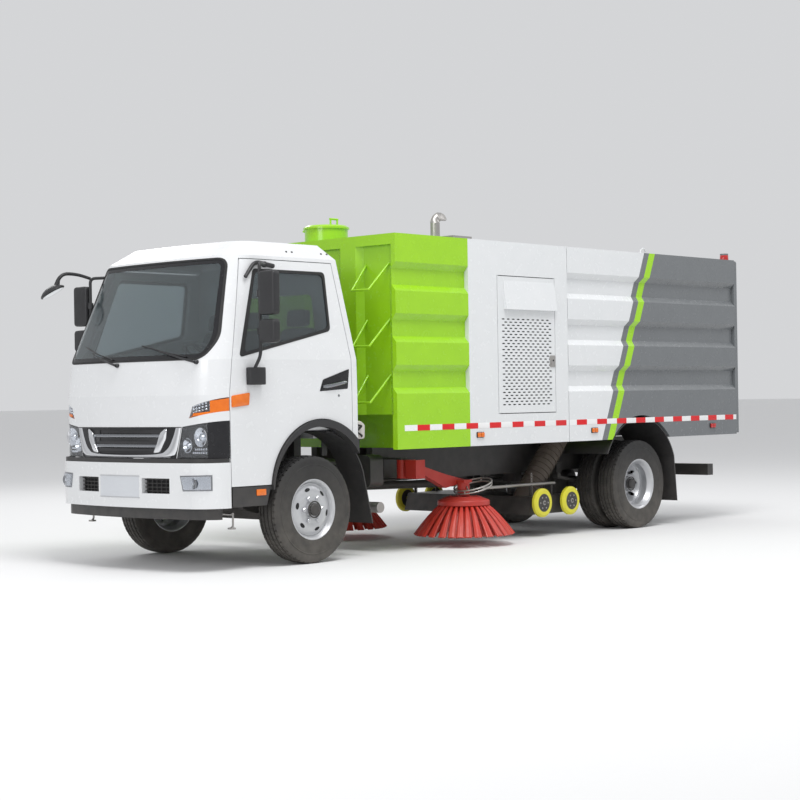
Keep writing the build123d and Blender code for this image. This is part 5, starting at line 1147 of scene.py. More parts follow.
@dataclass
class SideBrush:
    """Round brush of tapered tufts under a sloping disc, with a steel guard hoop on the arm.

    A tuft's path is rows of radius and height, and the disc's profile rows of height and radius.
    """

    x: float = behind(2.3)
    y: float = 0.88
    outer_tufts: int = 30
    inner_tufts: int = 22
    outer_path: Rows = (
        (0.222, 0.405), (0.285, 0.352), (0.352, 0.282), (0.42, 0.2), (0.492, 0.103))
    inner_path: Rows = (
        (0.185, 0.4), (0.235, 0.33), (0.292, 0.252), (0.345, 0.178), (0.395, 0.104))
    tuft_widths: Pair = (0.011, 0.036)
    tuft_depths: Pair = (0.01, 0.018)
    tuft_sway: float = 0.05
    tuft_foot: float = 0.1
    strands: int = 9
    strand_relief: float = 0.1
    disc: Rows = (
        (0.47, 0.026), (0.482, 0.028), (0.482, 0.165), (0.478, 0.176), (0.446, 0.256),
        (0.438, 0.262), (0.4, 0.262), (0.396, 0.258), (0.396, 0.06), (0.42, 0.026))
    bolts: int = 8
    bolt_circle: float = 0.14
    bolt_foot: float = 0.4818
    hoop_radius: float = 0.19
    hoop_tube: float = 0.0085
    hoop_back: float = 0.112
    hoop_out: float = 0.03
    hoop_height: float = 0.565
    hoop_lift: float = 0.03
    hoop_slope: float = 0.3
    stays: int = 6
    rod_turn: float = 0.45
    rod_spread: float = 0.08
    rod_top: float = 0.6

    def tuft(self, path: Line, turn: float, centre: Sequence[float]) -> Array:
        """One tuft as an oval bundle whose ring wavers with its strands and widens downwards.

        Args:
            path: Radius and height down the tuft's middle.
            turn: Angle round the brush.
            centre: X and Y of the brush.

        Returns:
            Net of places, one row for each place on the path.
        """
        line = np.array(path)
        share = np.linspace(0, 1, len(line))
        angle = whole_turn(2 * self.strands)
        waver = 1 + self.strand_relief * np.cos(self.strands * angle)
        wide = np.interp(share, (0, 1), self.tuft_widths)[:, None] * np.cos(angle) * waver
        deep = np.interp(share, (0, 1), self.tuft_depths)[:, None] * np.sin(angle) * waver
        fall = np.gradient(line, axis=0)
        fall /= np.linalg.norm(fall, axis=1, keepdims=True)
        reach = line[:, :1] + deep * -fall[:, 1:]
        height = np.maximum(line[:, 1:] + deep * fall[:, :1], self.tuft_foot)
        swing = turn + self.tuft_sway * share[:, None] * math.sin(turn * 5)
        x = centre[0] + reach * np.cos(swing) - wide * np.sin(swing)
        y = centre[1] + reach * np.sin(swing) + wide * np.cos(swing)
        return np.stack([x, y, height], -1)

    def build(self, hand: str, side: int) -> None:
        """Build the tufts, the disc and the hoop on one side.

        Args:
            hand: The side's name.
            side: 1 left, -1 right.
        """
        centre = (self.x, side * self.y)
        body = f"brush_{hand}_body"
        tufts = Form()
        for count, path, shift in ((self.outer_tufts, self.outer_path, 0.0),
                                   (self.inner_tufts, self.inner_path, 0.5)):
            for step in range(count):
                net = self.tuft(path, TAU * (step + shift) / count, centre)
                tufts.surface(net, close_v=True, caps=True)
        made = tufts.piece(f"brush_tufts_{hand}", BRISTLE_RED, body, "brush_bristle", 50.0)
        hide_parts(f"brush_{hand}")
        disc = Form().lathe(self.disc, (*centre, 0.0), axis=2, sides=56, closed=True)
        for step in range(self.bolts):
            turn = TAU * (step + 0.5) / self.bolts
            place = (centre[0] + self.bolt_circle * math.cos(turn),
                     centre[1] + self.bolt_circle * math.sin(turn), self.bolt_foot)
            disc.lathe(((0.0, 0.011), (0.006, 0.011), (0.007, 0.009)), place, axis=2, sides=6)
        disc.piece(f"brush_disc_{hand}", ARM_RED, body, "brush_bristle", 30.0)
        self.hoop(hand, side)

    def hoop(self, hand: str, side: int) -> None:
        """Two equal steel rings round the motor, joined by stays and tilted up to the rear.

        A ring's place is its middle plus radius times (cos, sin) of the turn, raised by the slope
        for each metre that it lies behind the middle.

        Args:
            hand: The side's name.
            side: 1 left, -1 right.
        """
        form = Form()
        middle = np.array((self.x - self.hoop_back, side * (self.y + self.hoop_out), self.hoop_height))

        def on_ring(turn: Array | float, lift: float) -> Array:
            """Places on the ring that lies this far above the lower one."""
            way = np.stack([np.cos(turn), np.sin(turn), -self.hoop_slope * np.cos(turn)], -1)
            return middle + way * self.hoop_radius + (0.0, 0.0, lift)

        around = np.linspace(0, TAU, 41)[:-1]
        for lift in (0.0, self.hoop_lift):
            form.tube(on_ring(around, lift), self.hoop_tube, 10, ring=True)
        for step in range(self.stays):
            turn = TAU * (step + 0.25) / self.stays
            stay = np.stack([on_ring(turn, 0.0), on_ring(turn, self.hoop_lift)])
            form.tube(stay, self.hoop_tube * 0.8, 8)
        for turn in (self.rod_turn, -self.rod_turn):
            top = (self.x, side * self.y + self.rod_spread * math.sin(turn), self.rod_top)
            form.tube(np.stack([on_ring(turn, self.hoop_lift), top]), self.hoop_tube * 0.9, 8)
        form.piece(f"brush_hoop_{hand}", STEEL, f"arm_{hand}", "rod_chrome")


@dataclass
class NozzleTrim:
    """Black hubs with bolts in the nozzle's yellow wheels, and the chains that it hangs from."""

    wheels: tuple[tuple[str, str, float, int], ...] = (
        ("fl", "front_left", 3.44, 1), ("fr", "front_right", 3.44, -1),
        ("rl", "rear_left", 3.912, 1), ("rr", "rear_right", 3.912, -1))
    height: float = 0.358
    middle: float = 0.972
    half_width: float = 0.028
    hub_radii: Pair = (0.02, 0.094)
    hub_proud: float = 0.0008
    bolts: int = 6
    bolt_circle: float = 0.062
    chain_x: float = behind(3.46)
    chain_y: float = 0.82
    chain_foot: float = 0.43
    links: int = 9
    link_pitch: float = 0.027
    link_half: Pair = (0.009, 0.018)
    link_wire: float = 0.0028

    def build(self) -> None:
        """Dress every wheel, then hang the chains."""
        edge = self.half_width + self.hub_proud
        bore, rim = self.hub_radii
        for short, name, back, side in self.wheels:
            body = f"nozzle_wheel_{short}"
            x, y, z = behind(back), side * self.middle, self.height
            hub = Form().lathe(((-edge, bore), (-edge, rim), (edge, rim), (edge, bore)), (x, y, z), sides=36,
                               closed=True)
            hub.piece(f"nozzle_hub_{name}", GUARD_BLACK, body, "black_plastic")
            bolts = Form()
            face = y + side * self.half_width
            for step in range(self.bolts):
                turn = TAU * step / self.bolts
                place = (x + self.bolt_circle * math.cos(turn), face, z + self.bolt_circle * math.sin(turn))
                bolts.lathe(outward(side, (0.0, 0.009), (0.006, 0.009), (0.007, 0.007)), place, sides=6)
            bolts.lathe(outward(side, (0.0, 0.024), (0.008, 0.024), (0.011, 0.018)), (x, face, z), sides=20)
            bolts.piece(f"nozzle_bolts_{name}", STEEL, body, "rod_chrome", 25.0)
        for number, side in enumerate((1, -1)):
            self.chain(number, side)

    def chain(self, number: int, side: int) -> None:
        """Oval steel links one above another, each turned a quarter from the last.

        A link's middle line is an oval in XZ or YZ, and its wire a ring carried round that oval.

        Args:
            number: The chain's number in its name.
            side: 1 left, -1 right.
        """
        form = Form()
        turn = whole_turn(14)
        wire = whole_turn(6)
        for step in range(self.links):
            ring = np.zeros((len(turn), 3))
            ring[:, step % 2] = self.link_half[0] * np.cos(turn)
            ring[:, 2] = self.link_half[1] * np.sin(turn)
            out = ring / np.linalg.norm(ring, axis=1, keepdims=True)
            cross = np.zeros(3)
            cross[1 - step % 2] = 1.0
            centre = np.array((self.chain_x, side * self.chain_y, self.chain_foot + self.link_pitch * step))
            net = (centre + ring[:, None]
                   + self.link_wire * (np.cos(wire)[None, :, None] * out[:, None]
                                       + np.sin(wire)[None, :, None] * cross))
            form.surface(net, close_u=True, close_v=True)
        form.piece(f"nozzle_chain_{number}", STEEL, "nozzle", "rod_chrome")


# Cab


@dataclass
class Wrap:
    """Strip round the cab's front corner, from a place on its bow to a station on its side.

    A share runs along the bow to the shoulder and then round the corner's arc. The strip's heights
    run between a low and a high line across its own width.
    """

    inner: Pair
    low: Pair
    high: Pair
    end: float = 0.977
    start: float = 0.0
    stop: float = 1.0
    split: float = 0.42
    face: CabFace = CAB

    def net(self, side: int, proud: float, rows: int = 8, columns: int = 30) -> Array:
        """Net of the strip.

        Args:
            side: 1 left, -1 right.
            proud: Distance outside the cab's own surface.
            rows: Rows of heights.
            columns: Places along the strip.

        Returns:
            Places by row and column.
        """
        share = np.linspace(self.start, self.stop, columns)[None]
        rise = np.linspace(0, 1, rows)[:, None]
        low = self.low[0] + (self.low[1] - self.low[0]) * share
        high = self.high[0] + (self.high[1] - self.high[0]) * share
        z = low + (high - low) * rise
        first = self.inner[0] + (self.inner[1] - self.inner[0]) * rise
        nose, shoulder, corner, wide, half = (self.face.at(z, k) for k in range(1, 6))
        radius = ((shoulder - corner) ** 2 + (half - wide) ** 2) / (2 * (half - wide))
        start_angle = np.arcsin((shoulder - corner) / radius)
        end_angle = np.arcsin(np.clip((self.end - corner) / radius, 0, 1))
        on_bow = first + (wide - first) * np.clip(share / self.split, 0, 1)
        round_share = np.clip((share - self.split) / (1 - self.split), 0, 1)
        angle = start_angle + (end_angle - start_angle) * round_share
        bow = share < self.split
        x = np.where(bow, nose - (nose - shoulder) * (on_bow / wide) ** 2, corner + radius * np.sin(angle))
        y = np.where(bow, on_bow, half - radius + radius * np.cos(angle))
        slope = 2 * (nose - shoulder) * on_bow / wide ** 2
        size = np.sqrt(1 + slope ** 2)
        out_x = np.where(bow, 1 / size, np.sin(angle))
        out_y = np.where(bow, slope / size, np.cos(angle))
        return np.stack([FRONT_AXLE + x + proud * out_x, side * (y + proud * out_y), z], -1)

    def part(self, start: float, stop: float) -> "Wrap":
        """The strip's own shape between two shares of its length."""
        return replace(self, start=start, stop=stop)

    def solid(self, form: Form, side: int, proud: float, thick: float, rows: int = 8,
              columns: int = 30) -> Form:
        """Add the strip as a closed shell between two distances from the cab's surface.

        Args:
            form: Form to add to.
            side: 1 left, -1 right.
            proud: Distance of its face outside the cab's own surface.
            thick: Thickness behind that face.
            rows: Rows of heights.
            columns: Places along the strip.

        Returns:
            The form.
        """
        front, back = (self.net(side, out, rows, columns) for out in (proud, proud - thick))
        ring = np.concatenate([front, back[:, ::-1]], 1)
        middle = (front[[0, -1]] + back[[0, -1]]) / 2
        ends = np.concatenate([middle, middle[:, ::-1]], 1)
        return form.surface(np.concatenate([ends[:1], ring, ends[1:]]), close_v=True, caps=True)


@dataclass
class HeadLamps:
    """Dark lamp cases with chrome bowls and light rows, smoked sides, and amber corner lamps.

    A bowl is its place across, height and radius. Its sections are rows of depth and share of that
    radius. A row of lights or dots is the place across and the height of its first one.
    """

    lamp: Wrap = field(default_factory=lambda: Wrap((0.668, 0.735), (0.985, 0.985), (1.258, 1.306)))
    turn: Wrap = field(default_factory=lambda: Wrap((0.812, 0.85), (1.33, 1.392), (1.432, 1.5)))
    turn_foot: Wrap = field(default_factory=lambda: Wrap((0.812, 0.85), (1.33, 1.376), (1.35, 1.404),
                                                         stop=0.71))
    smoked: float = 0.66
    clear: float = 0.7
    rim_low: float = 0.01
    rim_high: float = 0.012
    rim_end: float = 0.03
    bowls: tuple[Triple, ...] = ((0.908, 1.166, 0.08), (0.766, 1.096, 0.062))
    bowl_section: Rows = (
        (0.0, 0.5), (0.004, 0.8), (0.024, 1.0), (0.028, 1.04), (0.028, 0.92), (0.012, 0.62), (0.006, 0.45))
    bulb_section: Rows = ((0.006, 0.4), (0.018, 0.38), (0.026, 0.26), (0.029, 0.1))
    bowl_sunk: float = 0.05
    light_rows: Rows = ((0.842, 1.062), (0.82, 1.032))
    light_pitch: float = 0.021
    light_half: Pair = (0.008, 0.01)
    lights: int = 8
    dot_first: Pair = (0.852, 1.38)
    dot_pitch: float = 0.028
    dot_rows: int = 3
    dots_in_row: int = 6
    dot: Rows = ((0.0, 0.0115), (0.008, 0.0105), (0.014, 0.006), (0.016, 0.002))

    def build(self) -> None:
        """Build cases, optics, lenses and the amber parts on both sides."""
        case, optics, lens, clear, amber, smoke = (Form() for _ in range(6))
        for side in (1, -1):
            self.lamp.solid(case, side, -0.052, 0.012)
            self.rim(case, side)
            self.lamp.part(0.0, self.smoked).solid(lens, side, -0.0005, 0.003)
            self.lamp.part(self.smoked, 1.0).solid(smoke, side, -0.0005, 0.003, columns=20)
            self.optics(optics, side)
            self.turn.solid(case, side, -0.026, 0.006)
            self.turn.part(0.0, self.clear).solid(clear, side, -0.001, 0.003)
            self.turn.part(self.clear, 1.0).solid(amber, side, -0.001, 0.018)
            self.turn_foot.solid(amber, side, -0.0005, 0.018)
            self.dots(optics, side)
        made = case.piece("lamp_cases", HOLE_SHADE_AND_BLACK, "cab", "black_plastic")
        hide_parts("head_lamps")
        optics.piece("lamp_optics", CHROME, "cab", "lamp_glass")
        lens.piece("lamp_lenses", LAMP_LENS, "cab", "lamp_glass")
        smoke.piece("lamp_smoked", FRIT, "cab", "lamp_glass")
        clear.piece("turn_lenses", LAMP_LENS, "cab", "lamp_glass")
        amber.piece("turn_amber", AMBER, "cab", "lamp_glass")

    def rim(self, form: Form, side: int) -> None:
        """Add walls from the lens back to the case along the lamp's top, bottom and inner end.

        Args:
            form: Form to add to.
            side: 1 left, -1 right.
        """
        lamp = self.lamp
        foot = replace(lamp, high=tuple(z + self.rim_low for z in lamp.low))
        head = replace(lamp, inner=(lamp.inner[1],) * 2, low=tuple(z - self.rim_high for z in lamp.high))
        foot.solid(form, side, -0.003, 0.05, rows=2)
        head.solid(form, side, -0.003, 0.05, rows=2)
        lamp.part(0.0, self.rim_end).solid(form, side, -0.003, 0.05, columns=3)

    def optics(self, form: Form, side: int) -> None:
        """Add chrome bowls that face ahead with their bulbs, and two rows of lights below.

        Args:
            form: Form to add to.
            side: 1 left, -1 right.
        """
        for y, z, radius in self.bowls:
            centre = (CAB.nose(y, z) - self.bowl_sunk, side * y, z)
            for section, sides in ((self.bowl_section, 36), (self.bulb_section, 24)):
                form.lathe(np.array(section) * (1, radius), centre, axis=0, sides=sides)
        wide, high = self.light_half
        for first, z in self.light_rows:
            for step in range(self.lights):
                y = first + self.light_pitch * step
                x = CAB.nose(y, z) - 0.03
                form.block((x - 0.014, side * y - wide, z - high), (x, side * y + wide, z + high), 0.004,
                           0.002)

    def dots(self, form: Form, side: int) -> None:
        """Add rows of small round lights behind the clear part of the corner lamp.

        Args:
            form: Form to add to.
            side: 1 left, -1 right.
        """
        for row in range(self.dot_rows):
            for step in range(self.dots_in_row):
                y = self.dot_first[0] + self.dot_pitch * step
                z = self.dot_first[1] + 0.027 * row + 0.007 * step
                form.lathe(self.dot, (CAB.nose(y, z) - 0.022, side * y, z), axis=0, sides=14)


@dataclass
class Grille:
    """Black mask between the lamps, grey bars, chrome fins and the bright strip that cups them.

    Outlines and edges are rows of a place across and a height. A bar is its height and half width.
    """

    mask: Rows = (
        (0.66, 0.986), (0.728, 1.257), (-0.728, 1.257), (-0.66, 0.986))
    opening: Rows = (
        (0.4, 0.996), (0.569, 1.242), (-0.569, 1.242), (-0.4, 0.996))
    bars: Rows = ((1.09, 0.43), (1.18, 0.49))
    bar_height: float = 0.032
    bar_places: int = 31
    outer: Rows = (
        (0.724, 1.25), (0.7, 1.15), (0.668, 1.05), (0.63, 1.006), (0.56, 0.99), (0.3, 0.988),
        (0.0, 0.987))
    inner: Rows = (
        (0.664, 1.25), (0.632, 1.17), (0.588, 1.092), (0.54, 1.05), (0.48, 1.026), (0.3, 1.016),
        (0.0, 1.012))
    fin_edge: Rows = (
        (0.385, 1.024), (0.47, 1.032), (0.545, 1.15), (0.56, 1.24), (0.535, 1.242), (0.478, 1.208),
        (0.44, 1.11))
    fin_shares: tuple[float, ...] = (1.0, 1.0, 0.9, 0.6, 0.25)
    fin_rises: tuple[float, ...] = (-0.012, 0.002, 0.008, 0.012, 0.013)

    def build(self) -> None:
        """Build mask, bars, end fins and the lower strip."""
        mask = shell_on_cab(Form(), self.matched(self.mask), self.matched(self.opening), 0.0022, 0.01)
        mask.piece("grille_mask", FRIT, "cab", "black_plastic")
        bars = Form()
        for z, half in self.bars:
            y = np.linspace(-half, half, self.bar_places)
            low, high = (np.stack([y, np.full(self.bar_places, z + rise)], -1)
                         for rise in (-self.bar_height / 2, self.bar_height / 2))
            band_on_cab(bars, low, high, -0.012, 0.009, 0.008)
        bars.piece("grille_bars", DARK_CHROME, "cab", "rod_chrome")
        trim = Form()
        edges = []
        for edge in (self.outer, self.inner):
            half = smooth_path([(0.0, *p) for p in edge])[:, 1:]
            edges.append(np.vstack([half, half[-2::-1] * (-1, 1)]))
        band_on_cab(trim, edges[0], edges[1], 0.003, 0.008, 0.006)
        for side in (1, -1):
            self.fin(trim, [(side * y, z) for y, z in self.fin_edge][::side])
        trim.piece("grille_trim", CHROME, "cab", "rod_chrome")

    def matched(self, corners: Line, count: int = 40) -> Array:
        """Places along a closed outline, the same number on each side."""
        ends = np.array(corners, float)
        share = np.linspace(0, 1, count, endpoint=False)[:, None]
        return np.concatenate([a + (b - a) * share for a, b in zip(ends, np.roll(ends, -1, 0))])

    def fin(self, form: Form, outline: Line) -> None:
        """Add one bright fin that follows the cab's bow, thicker at its middle.

        Args:
            form: Form to add to.
            outline: Corners of its edge.
        """
        edge = resampled(rounded(outline, 0.02), 48)
        centre = edge.mean(0)
        flat = centre + (edge - centre)[None] * np.array(self.fin_shares)[:, None, None]
        x = CAB.front(flat[..., 0], flat[..., 1]) + np.array(self.fin_rises)[:, None]
        form.surface(np.concatenate([x[..., None], flat], -1), close_v=True, caps=True)


@dataclass
class Windscreen:
    """Dark border printed round the screen's glass, and two wipers that follow its bow."""

    corners: Rows = (
        (0.93, 1.842), (0.992, 2.01), (0.848, 2.728), (-0.848, 2.728), (-0.992, 2.01), (-0.93, 1.842))
    corner_reach: float = 0.085
    border: float = 0.042
    wipers: tuple[Rows, ...] = (
        ((0.88, 1.815), (0.64, 1.872), (0.44, 1.918)), ((-0.1, 1.806), (-0.33, 1.866), (-0.52, 1.925)))
    blades: tuple[Rows, ...] = (
        ((0.76, 1.862), (0.48, 1.913), (0.18, 1.975)), ((-0.18, 1.86), (-0.48, 1.925), (-0.7, 1.99)))

    def build(self) -> None:
        """Build border, seal and wipers."""
        outer = resampled(rounded(self.corners, self.corner_reach, 7), 220)
        inner = self.inset(outer, self.border)
        band = shell_on_cab(Form(), self.inset(outer, 0.003), inner, -0.0012, 0.0014)
        band.piece("screen_border", FRIT, "cab", "black_plastic")
        seal = shell_on_cab(Form(), self.inset(outer, -0.01), self.inset(outer, 0.008), 0.0025, 0.01)
        seal.piece("screen_seal", RUBBER, "cab", "black_plastic")
        arms = Form()
        for arm, blade in zip(self.wipers, self.blades):
            arms.tube(self.on_glass(arm, 0.026), np.linspace(0.011, 0.006, 17), 10)
            arms.tube(self.on_glass(blade, 0.012), 0.006, 8)
            arms.tube(self.on_glass(blade, 0.005), 0.0035, 6)
            foot = self.on_glass(arm, 0.01)[0]
            arms.lathe(((-0.02, 0.02), (0.012, 0.018), (0.02, 0.012)), foot, axis=0, sides=20)
        arms.piece("wipers", PLASTIC, "cab", "black_plastic")

    def inset(self, outline: Array, reach: float) -> Array:
        """Move a closed outline inwards along its own normals.

        Args:
            outline: Places round it, either way.
            reach: Distance inwards, or outwards where it is negative.

        Returns:
            The moved outline.
        """
        turn = np.roll(outline, -1, 0) - np.roll(outline, 1, 0)
        normal = np.stack([turn[:, 1], -turn[:, 0]], -1)
        normal /= np.linalg.norm(normal, axis=1, keepdims=True)
        return outline - normal * reach * np.sign(twice_area(outline))

    def on_glass(self, points: Line, proud: float) -> Array:
        """Smooth line through places across and up, lying just off the glass."""
        run = smooth_path([(0.0, *p) for p in points])
        run[:, 0] = CAB.front(run[:, 1], run[:, 2]) + proud
        return run


def side_plate(form: Form, side: int, outline: Line, face: float, depth: float,
               corner: float = 0.01, edge: float = 0.002) -> Form:
    """Add an upright plate that faces outwards on one side.

    Args:
        form: Form to add to.
        side: 1 left, -1 right.
        outline: Corners as X and height.
        face: Distance of the plate's back from the middle plane.
        depth: Thickness outwards.
        corner: Reach of each rounded corner.
        edge: Radius of the rims.

    Returns:
        The form.
    """
    flat = rounded(np.array(outline, float) * (-side, 1), corner)
    return form.plate(flat, (0.0, side * face, 0.0), (-side, 0, 0), (0, 0, 1), depth, edge)


def oblong(x: float, z: float, half_length: float, half_height: float) -> Array:
    """Corners of an upright oblong about its middle, as X and height."""
    way = np.array(((1, -1), (1, 1), (-1, 1), (-1, -1)))
    return np.array((x, z)) + way * (half_length, half_height)


@dataclass
class Doors:
    """Window seals, handles with their locks, and the amber strips on both doors.

    Outlines are corners as X and height, and the pull's line is places on the left door.
    """

    window: Rows = (
        (ahead(0.85), 1.85), (ahead(0.572), 2.64), (behind(0.308), 2.64), (behind(0.3), 2.1))
    opening: Rows = (
        (ahead(0.785), 1.893), (ahead(0.548), 2.612), (behind(0.28), 2.612), (behind(0.274), 2.122))
    window_corner: float = 0.045
    seal_places: int = 160
    seal_proud: float = 0.003
    seal_sunk: float = 0.016
    handle: Rows = (
        (2.7, 1.548), (2.655, 1.655), (2.318, 1.752), (2.338, 1.57))
    handle_face: float = 1.0815
    hollow_face: float = 1.085
    hollow_share: Pair = (0.9, 0.86)
    pull: tuple[Triple, ...] = (
        (2.66, 1.09, 1.59), (2.56, 1.1, 1.6), (2.45, 1.1, 1.618), (2.355, 1.09, 1.632))
    pull_radii: tuple[float, float, float, float] = (0.01, 0.017, 0.017, 0.01)
    lock: Triple = (2.456, 1.0835, 1.508)
    amber: Rows = ((3.764, 1.418), (3.764, 1.52), (3.556, 1.546), (3.566, 1.436))
    amber_face: float = 1.08

    def build(self) -> None:
        """Build both doors' trim."""
        for hand, side in (("left", 1), ("right", -1)):
            body = f"cab_door_{hand}"
            self.seal(hand, side, body)
            self.grip(hand, side, body)
            strip = side_plate(Form(), side, self.amber, self.amber_face, 0.018, 0.014, 0.006)
            strip.piece(f"door_amber_{hand}", AMBER, body, "lamp_glass")

    def seal(self, hand: str, side: int, body: str) -> None:
        """Build the rubber frame round the window, lying on the door's sloping side.

        Args:
            hand: The side's name.
            side: 1 left, -1 right.
            body: Body it rides on.
        """
        outer, inner = (resampled(rounded(edge, self.window_corner, 7), self.seal_places)
                        for edge in (self.window, self.opening))
        rings = []
        for ring, proud in ((outer, -self.seal_sunk), (outer, self.seal_proud),
                            (inner, self.seal_proud), (inner, -self.seal_sunk)):
            y = side * (CAB.side(ring[:, 1]) + proud)
            rings.append(np.stack([ring[:, 0], y, ring[:, 1]], -1))
        form = Form().surface(np.stack(rings), close_u=True, close_v=True)
        form.piece(f"window_seal_{hand}", RUBBER, body, "black_plastic")

    def grip(self, hand: str, side: int, body: str) -> None:
        """Build the dark handle shell with a bright pull bar and the lock below it.

        Args:
            hand: The side's name.
            side: 1 left, -1 right.
            body: Body they ride on.
        """
        corners = np.array(self.handle)
        centre = corners.mean(0)
        shell = side_plate(Form(), side, corners, self.handle_face, 0.005, 0.012, 0.002)
        hollow = centre + (corners - centre) * self.hollow_share
        side_plate(shell, side, hollow, self.hollow_face, 0.003, 0.01, 0.001)
        shell.piece(f"handle_shell_{hand}", FRIT, body, "black_plastic")
        bar = smooth_path(np.array(self.pull) * (1, side, 1))
        radii = np.interp(np.linspace(0, 1, len(bar)), (0, 0.15, 0.85, 1), self.pull_radii)
        pull = Form().tube(bar, radii, 12, flat=0.6)
        lock = np.array(self.lock) * (1, side, 1)
        pull.lathe(outward(side, (0.0, 0.012), (0.004, 0.012), (0.005, 0.01)), lock, sides=20)
        pull.piece(f"handle_pull_{hand}", DARK_CHROME, body, "rod_chrome")


@dataclass
class Mirrors:
    """Mirrors on both doors: pole, brackets, soft-edged heads and glasses, and a front saucer.

    The foot's outline is places across and up, the bracket's line X and height, and the saucer's
    profiles are rows of place along its axis and radius. The saucer hangs on the right.
    """

    pole: Pair = (ahead(0.706), 1.196)
    pole_start: Triple = (ahead(0.716), 1.116, 1.738)
    pole_low: float = 1.864
    top: float = 2.668
    pole_end: Triple = (ahead(0.44), 0.974, 2.68)
    thick: float = 0.015
    foot: Rows = ((1.083, 1.612), (1.147, 1.612), (1.147, 1.765), (1.081, 1.765))
    foot_rear: float = ahead(0.6)
    foot_length: float = 0.178
    bracket: Rows = (
        (ahead(0.34), 2.668), (ahead(0.56), 2.7), (ahead(0.69), 2.56))
    bracket_proud: float = 0.022
    face: float = 3.473
    depth: float = 0.084
    inner: float = 1.219
    outer: float = 1.415
    heights: Rows = ((2.213, 2.595), (1.972, 2.176))
    rim: float = 0.022
    clamp: Rows = ((-0.03, 0.024), (-0.026, 0.028), (0.026, 0.028), (0.03, 0.024))
    saucer: Triple = (3.884, -1.286, 2.522)
    saucer_way: Triple = (-0.35, 0.35, -0.87)
    saucer_back: Rows = (
        (0.0, 0.06), (0.001, 0.118), (-0.006, 0.126), (-0.02, 0.12), (-0.042, 0.092), (-0.058, 0.054),
        (-0.064, 0.016))
    saucer_glass: Rows = (
        (-0.002, 0.11), (0.004, 0.11), (0.01, 0.08), (0.014, 0.04), (0.015, 0.01))
    saucer_arm: tuple[Triple, ...] = (
        (3.64, -1.222, 2.7), (3.77, -1.243, 2.704), (3.838, -1.25, 2.66), (3.858, -1.262, 2.592))

    def build(self) -> None:
        """Build both mirrors in place of the plain ones."""
        for hand, side in (("left", 1), ("right", -1)):
            body = f"cab_door_{hand}"
            frame, glass = Form(), Form()
            self.poles(frame, side)
            for low, high in self.heights:
                self.head(frame, glass, side, low, high)
            if side < 0:
                self.front_saucer(frame, glass)
            made = frame.piece(f"mirror_frame_{hand}", PLASTIC, body, "black_plastic")
            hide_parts(f"mirror_{hand}")
            glass.piece(f"mirror_faces_{hand}", MIRROR, body, "rod_chrome")

    def poles(self, form: Form, side: int) -> None:
        """Add foot, bent pole, upper arm and the bracket along the door's top front corner.

        Args:
            form: Form to add to.
            side: 1 left, -1 right.
        """
        foot = rounded(self.foot, 0.012) * (side, 1)
        form.plate(foot, (self.foot_rear, 0.0, 0.0), (0, 1, 0), (0, 0, 1), self.foot_length, 0.008)
        low, high = ((*self.pole, z) for z in (self.pole_low, self.top))
        run = np.array((self.pole_start, low, high, self.pole_end)) * (1, side, 1)
        form.tube(bent(run, 0.05, 7), self.thick, 14)
        end_x, _, end_z = self.pole_end
        pad = (end_x, side * (CAB.beside(end_z) + 0.001), end_z)
        form.lathe(outward(side, (0.0, 0.027), (0.024, 0.027), (0.03, 0.02)), pad, sides=20)
        line = [(x, side * (CAB.beside(z) + self.bracket_proud), z) for x, z in self.bracket]
        arch = bent(line, 0.06, 6)
        form.tube(arch, np.linspace(0.021, 0.017, len(arch)), 12)

    def head(self, frame: Form, glass: Form, side: int, low: float, high: float) -> None:
        """Add one head with its clamp and its glass.

        Args:
            frame: Form of the dark parts.
            glass: Form of the glasses.
            side: 1 left, -1 right.
            low: Lower edge.
            high: Upper edge.
        """
        start = min(side * self.inner, side * self.outer)
        width, height = self.outer - self.inner, high - low
        shell = rounded(oblong_from(0, 0, width, height), 0.04, 7)
        frame.plate(shell, (self.face, start, low), (0, 1, 0), (0, 0, 1), self.depth, 0.02, 5)
        cut = self.rim
        flat = rounded(oblong_from(cut, cut, width - cut, height - cut), 0.024, 6)
        glass.plate(flat * (-1, 1), (self.face + 0.0006, start, low), (0, -1, 0), (0, 0, 1), 0.0022, 0.0008)
        x, y = self.pole
        middle = (low + high) / 2
        frame.lathe(self.clamp, (x, side * y, middle), axis=2, sides=24)
        frame.tube(((x, side * y, middle), (x, side * (self.inner + 0.012), middle)), 0.02, 14)

    def front_saucer(self, frame: Form, glass: Form) -> None:
        """Add the round convex mirror ahead of the cab's corner on a hooked arm.

        Args:
            frame: Form of the dark parts.
            glass: Form of the glasses.
        """
        way = np.array(self.saucer_way) / np.linalg.norm(self.saucer_way)
        first = np.cross(way, (0.0, 0.0, 1.0))
        first /= np.linalg.norm(first)
        second = np.cross(way, first)
        turn = whole_turn(40)
        ring = np.cos(turn)[:, None] * first + np.sin(turn)[:, None] * second
        for form, profile in ((frame, self.saucer_back), (glass, self.saucer_glass)):
            rows = [np.array(self.saucer) + way * rise + ring * radius for rise, radius in profile]
            form.surface(np.stack(rows), close_v=True, caps=True)
        x, y = self.pole
        arm = smooth_path(((x, -y, self.top), *self.saucer_arm))
        frame.tube(arm, np.interp(np.linspace(0, 1, len(arm)), (0, 0.8, 1), (0.015, 0.018, 0.028)), 12)


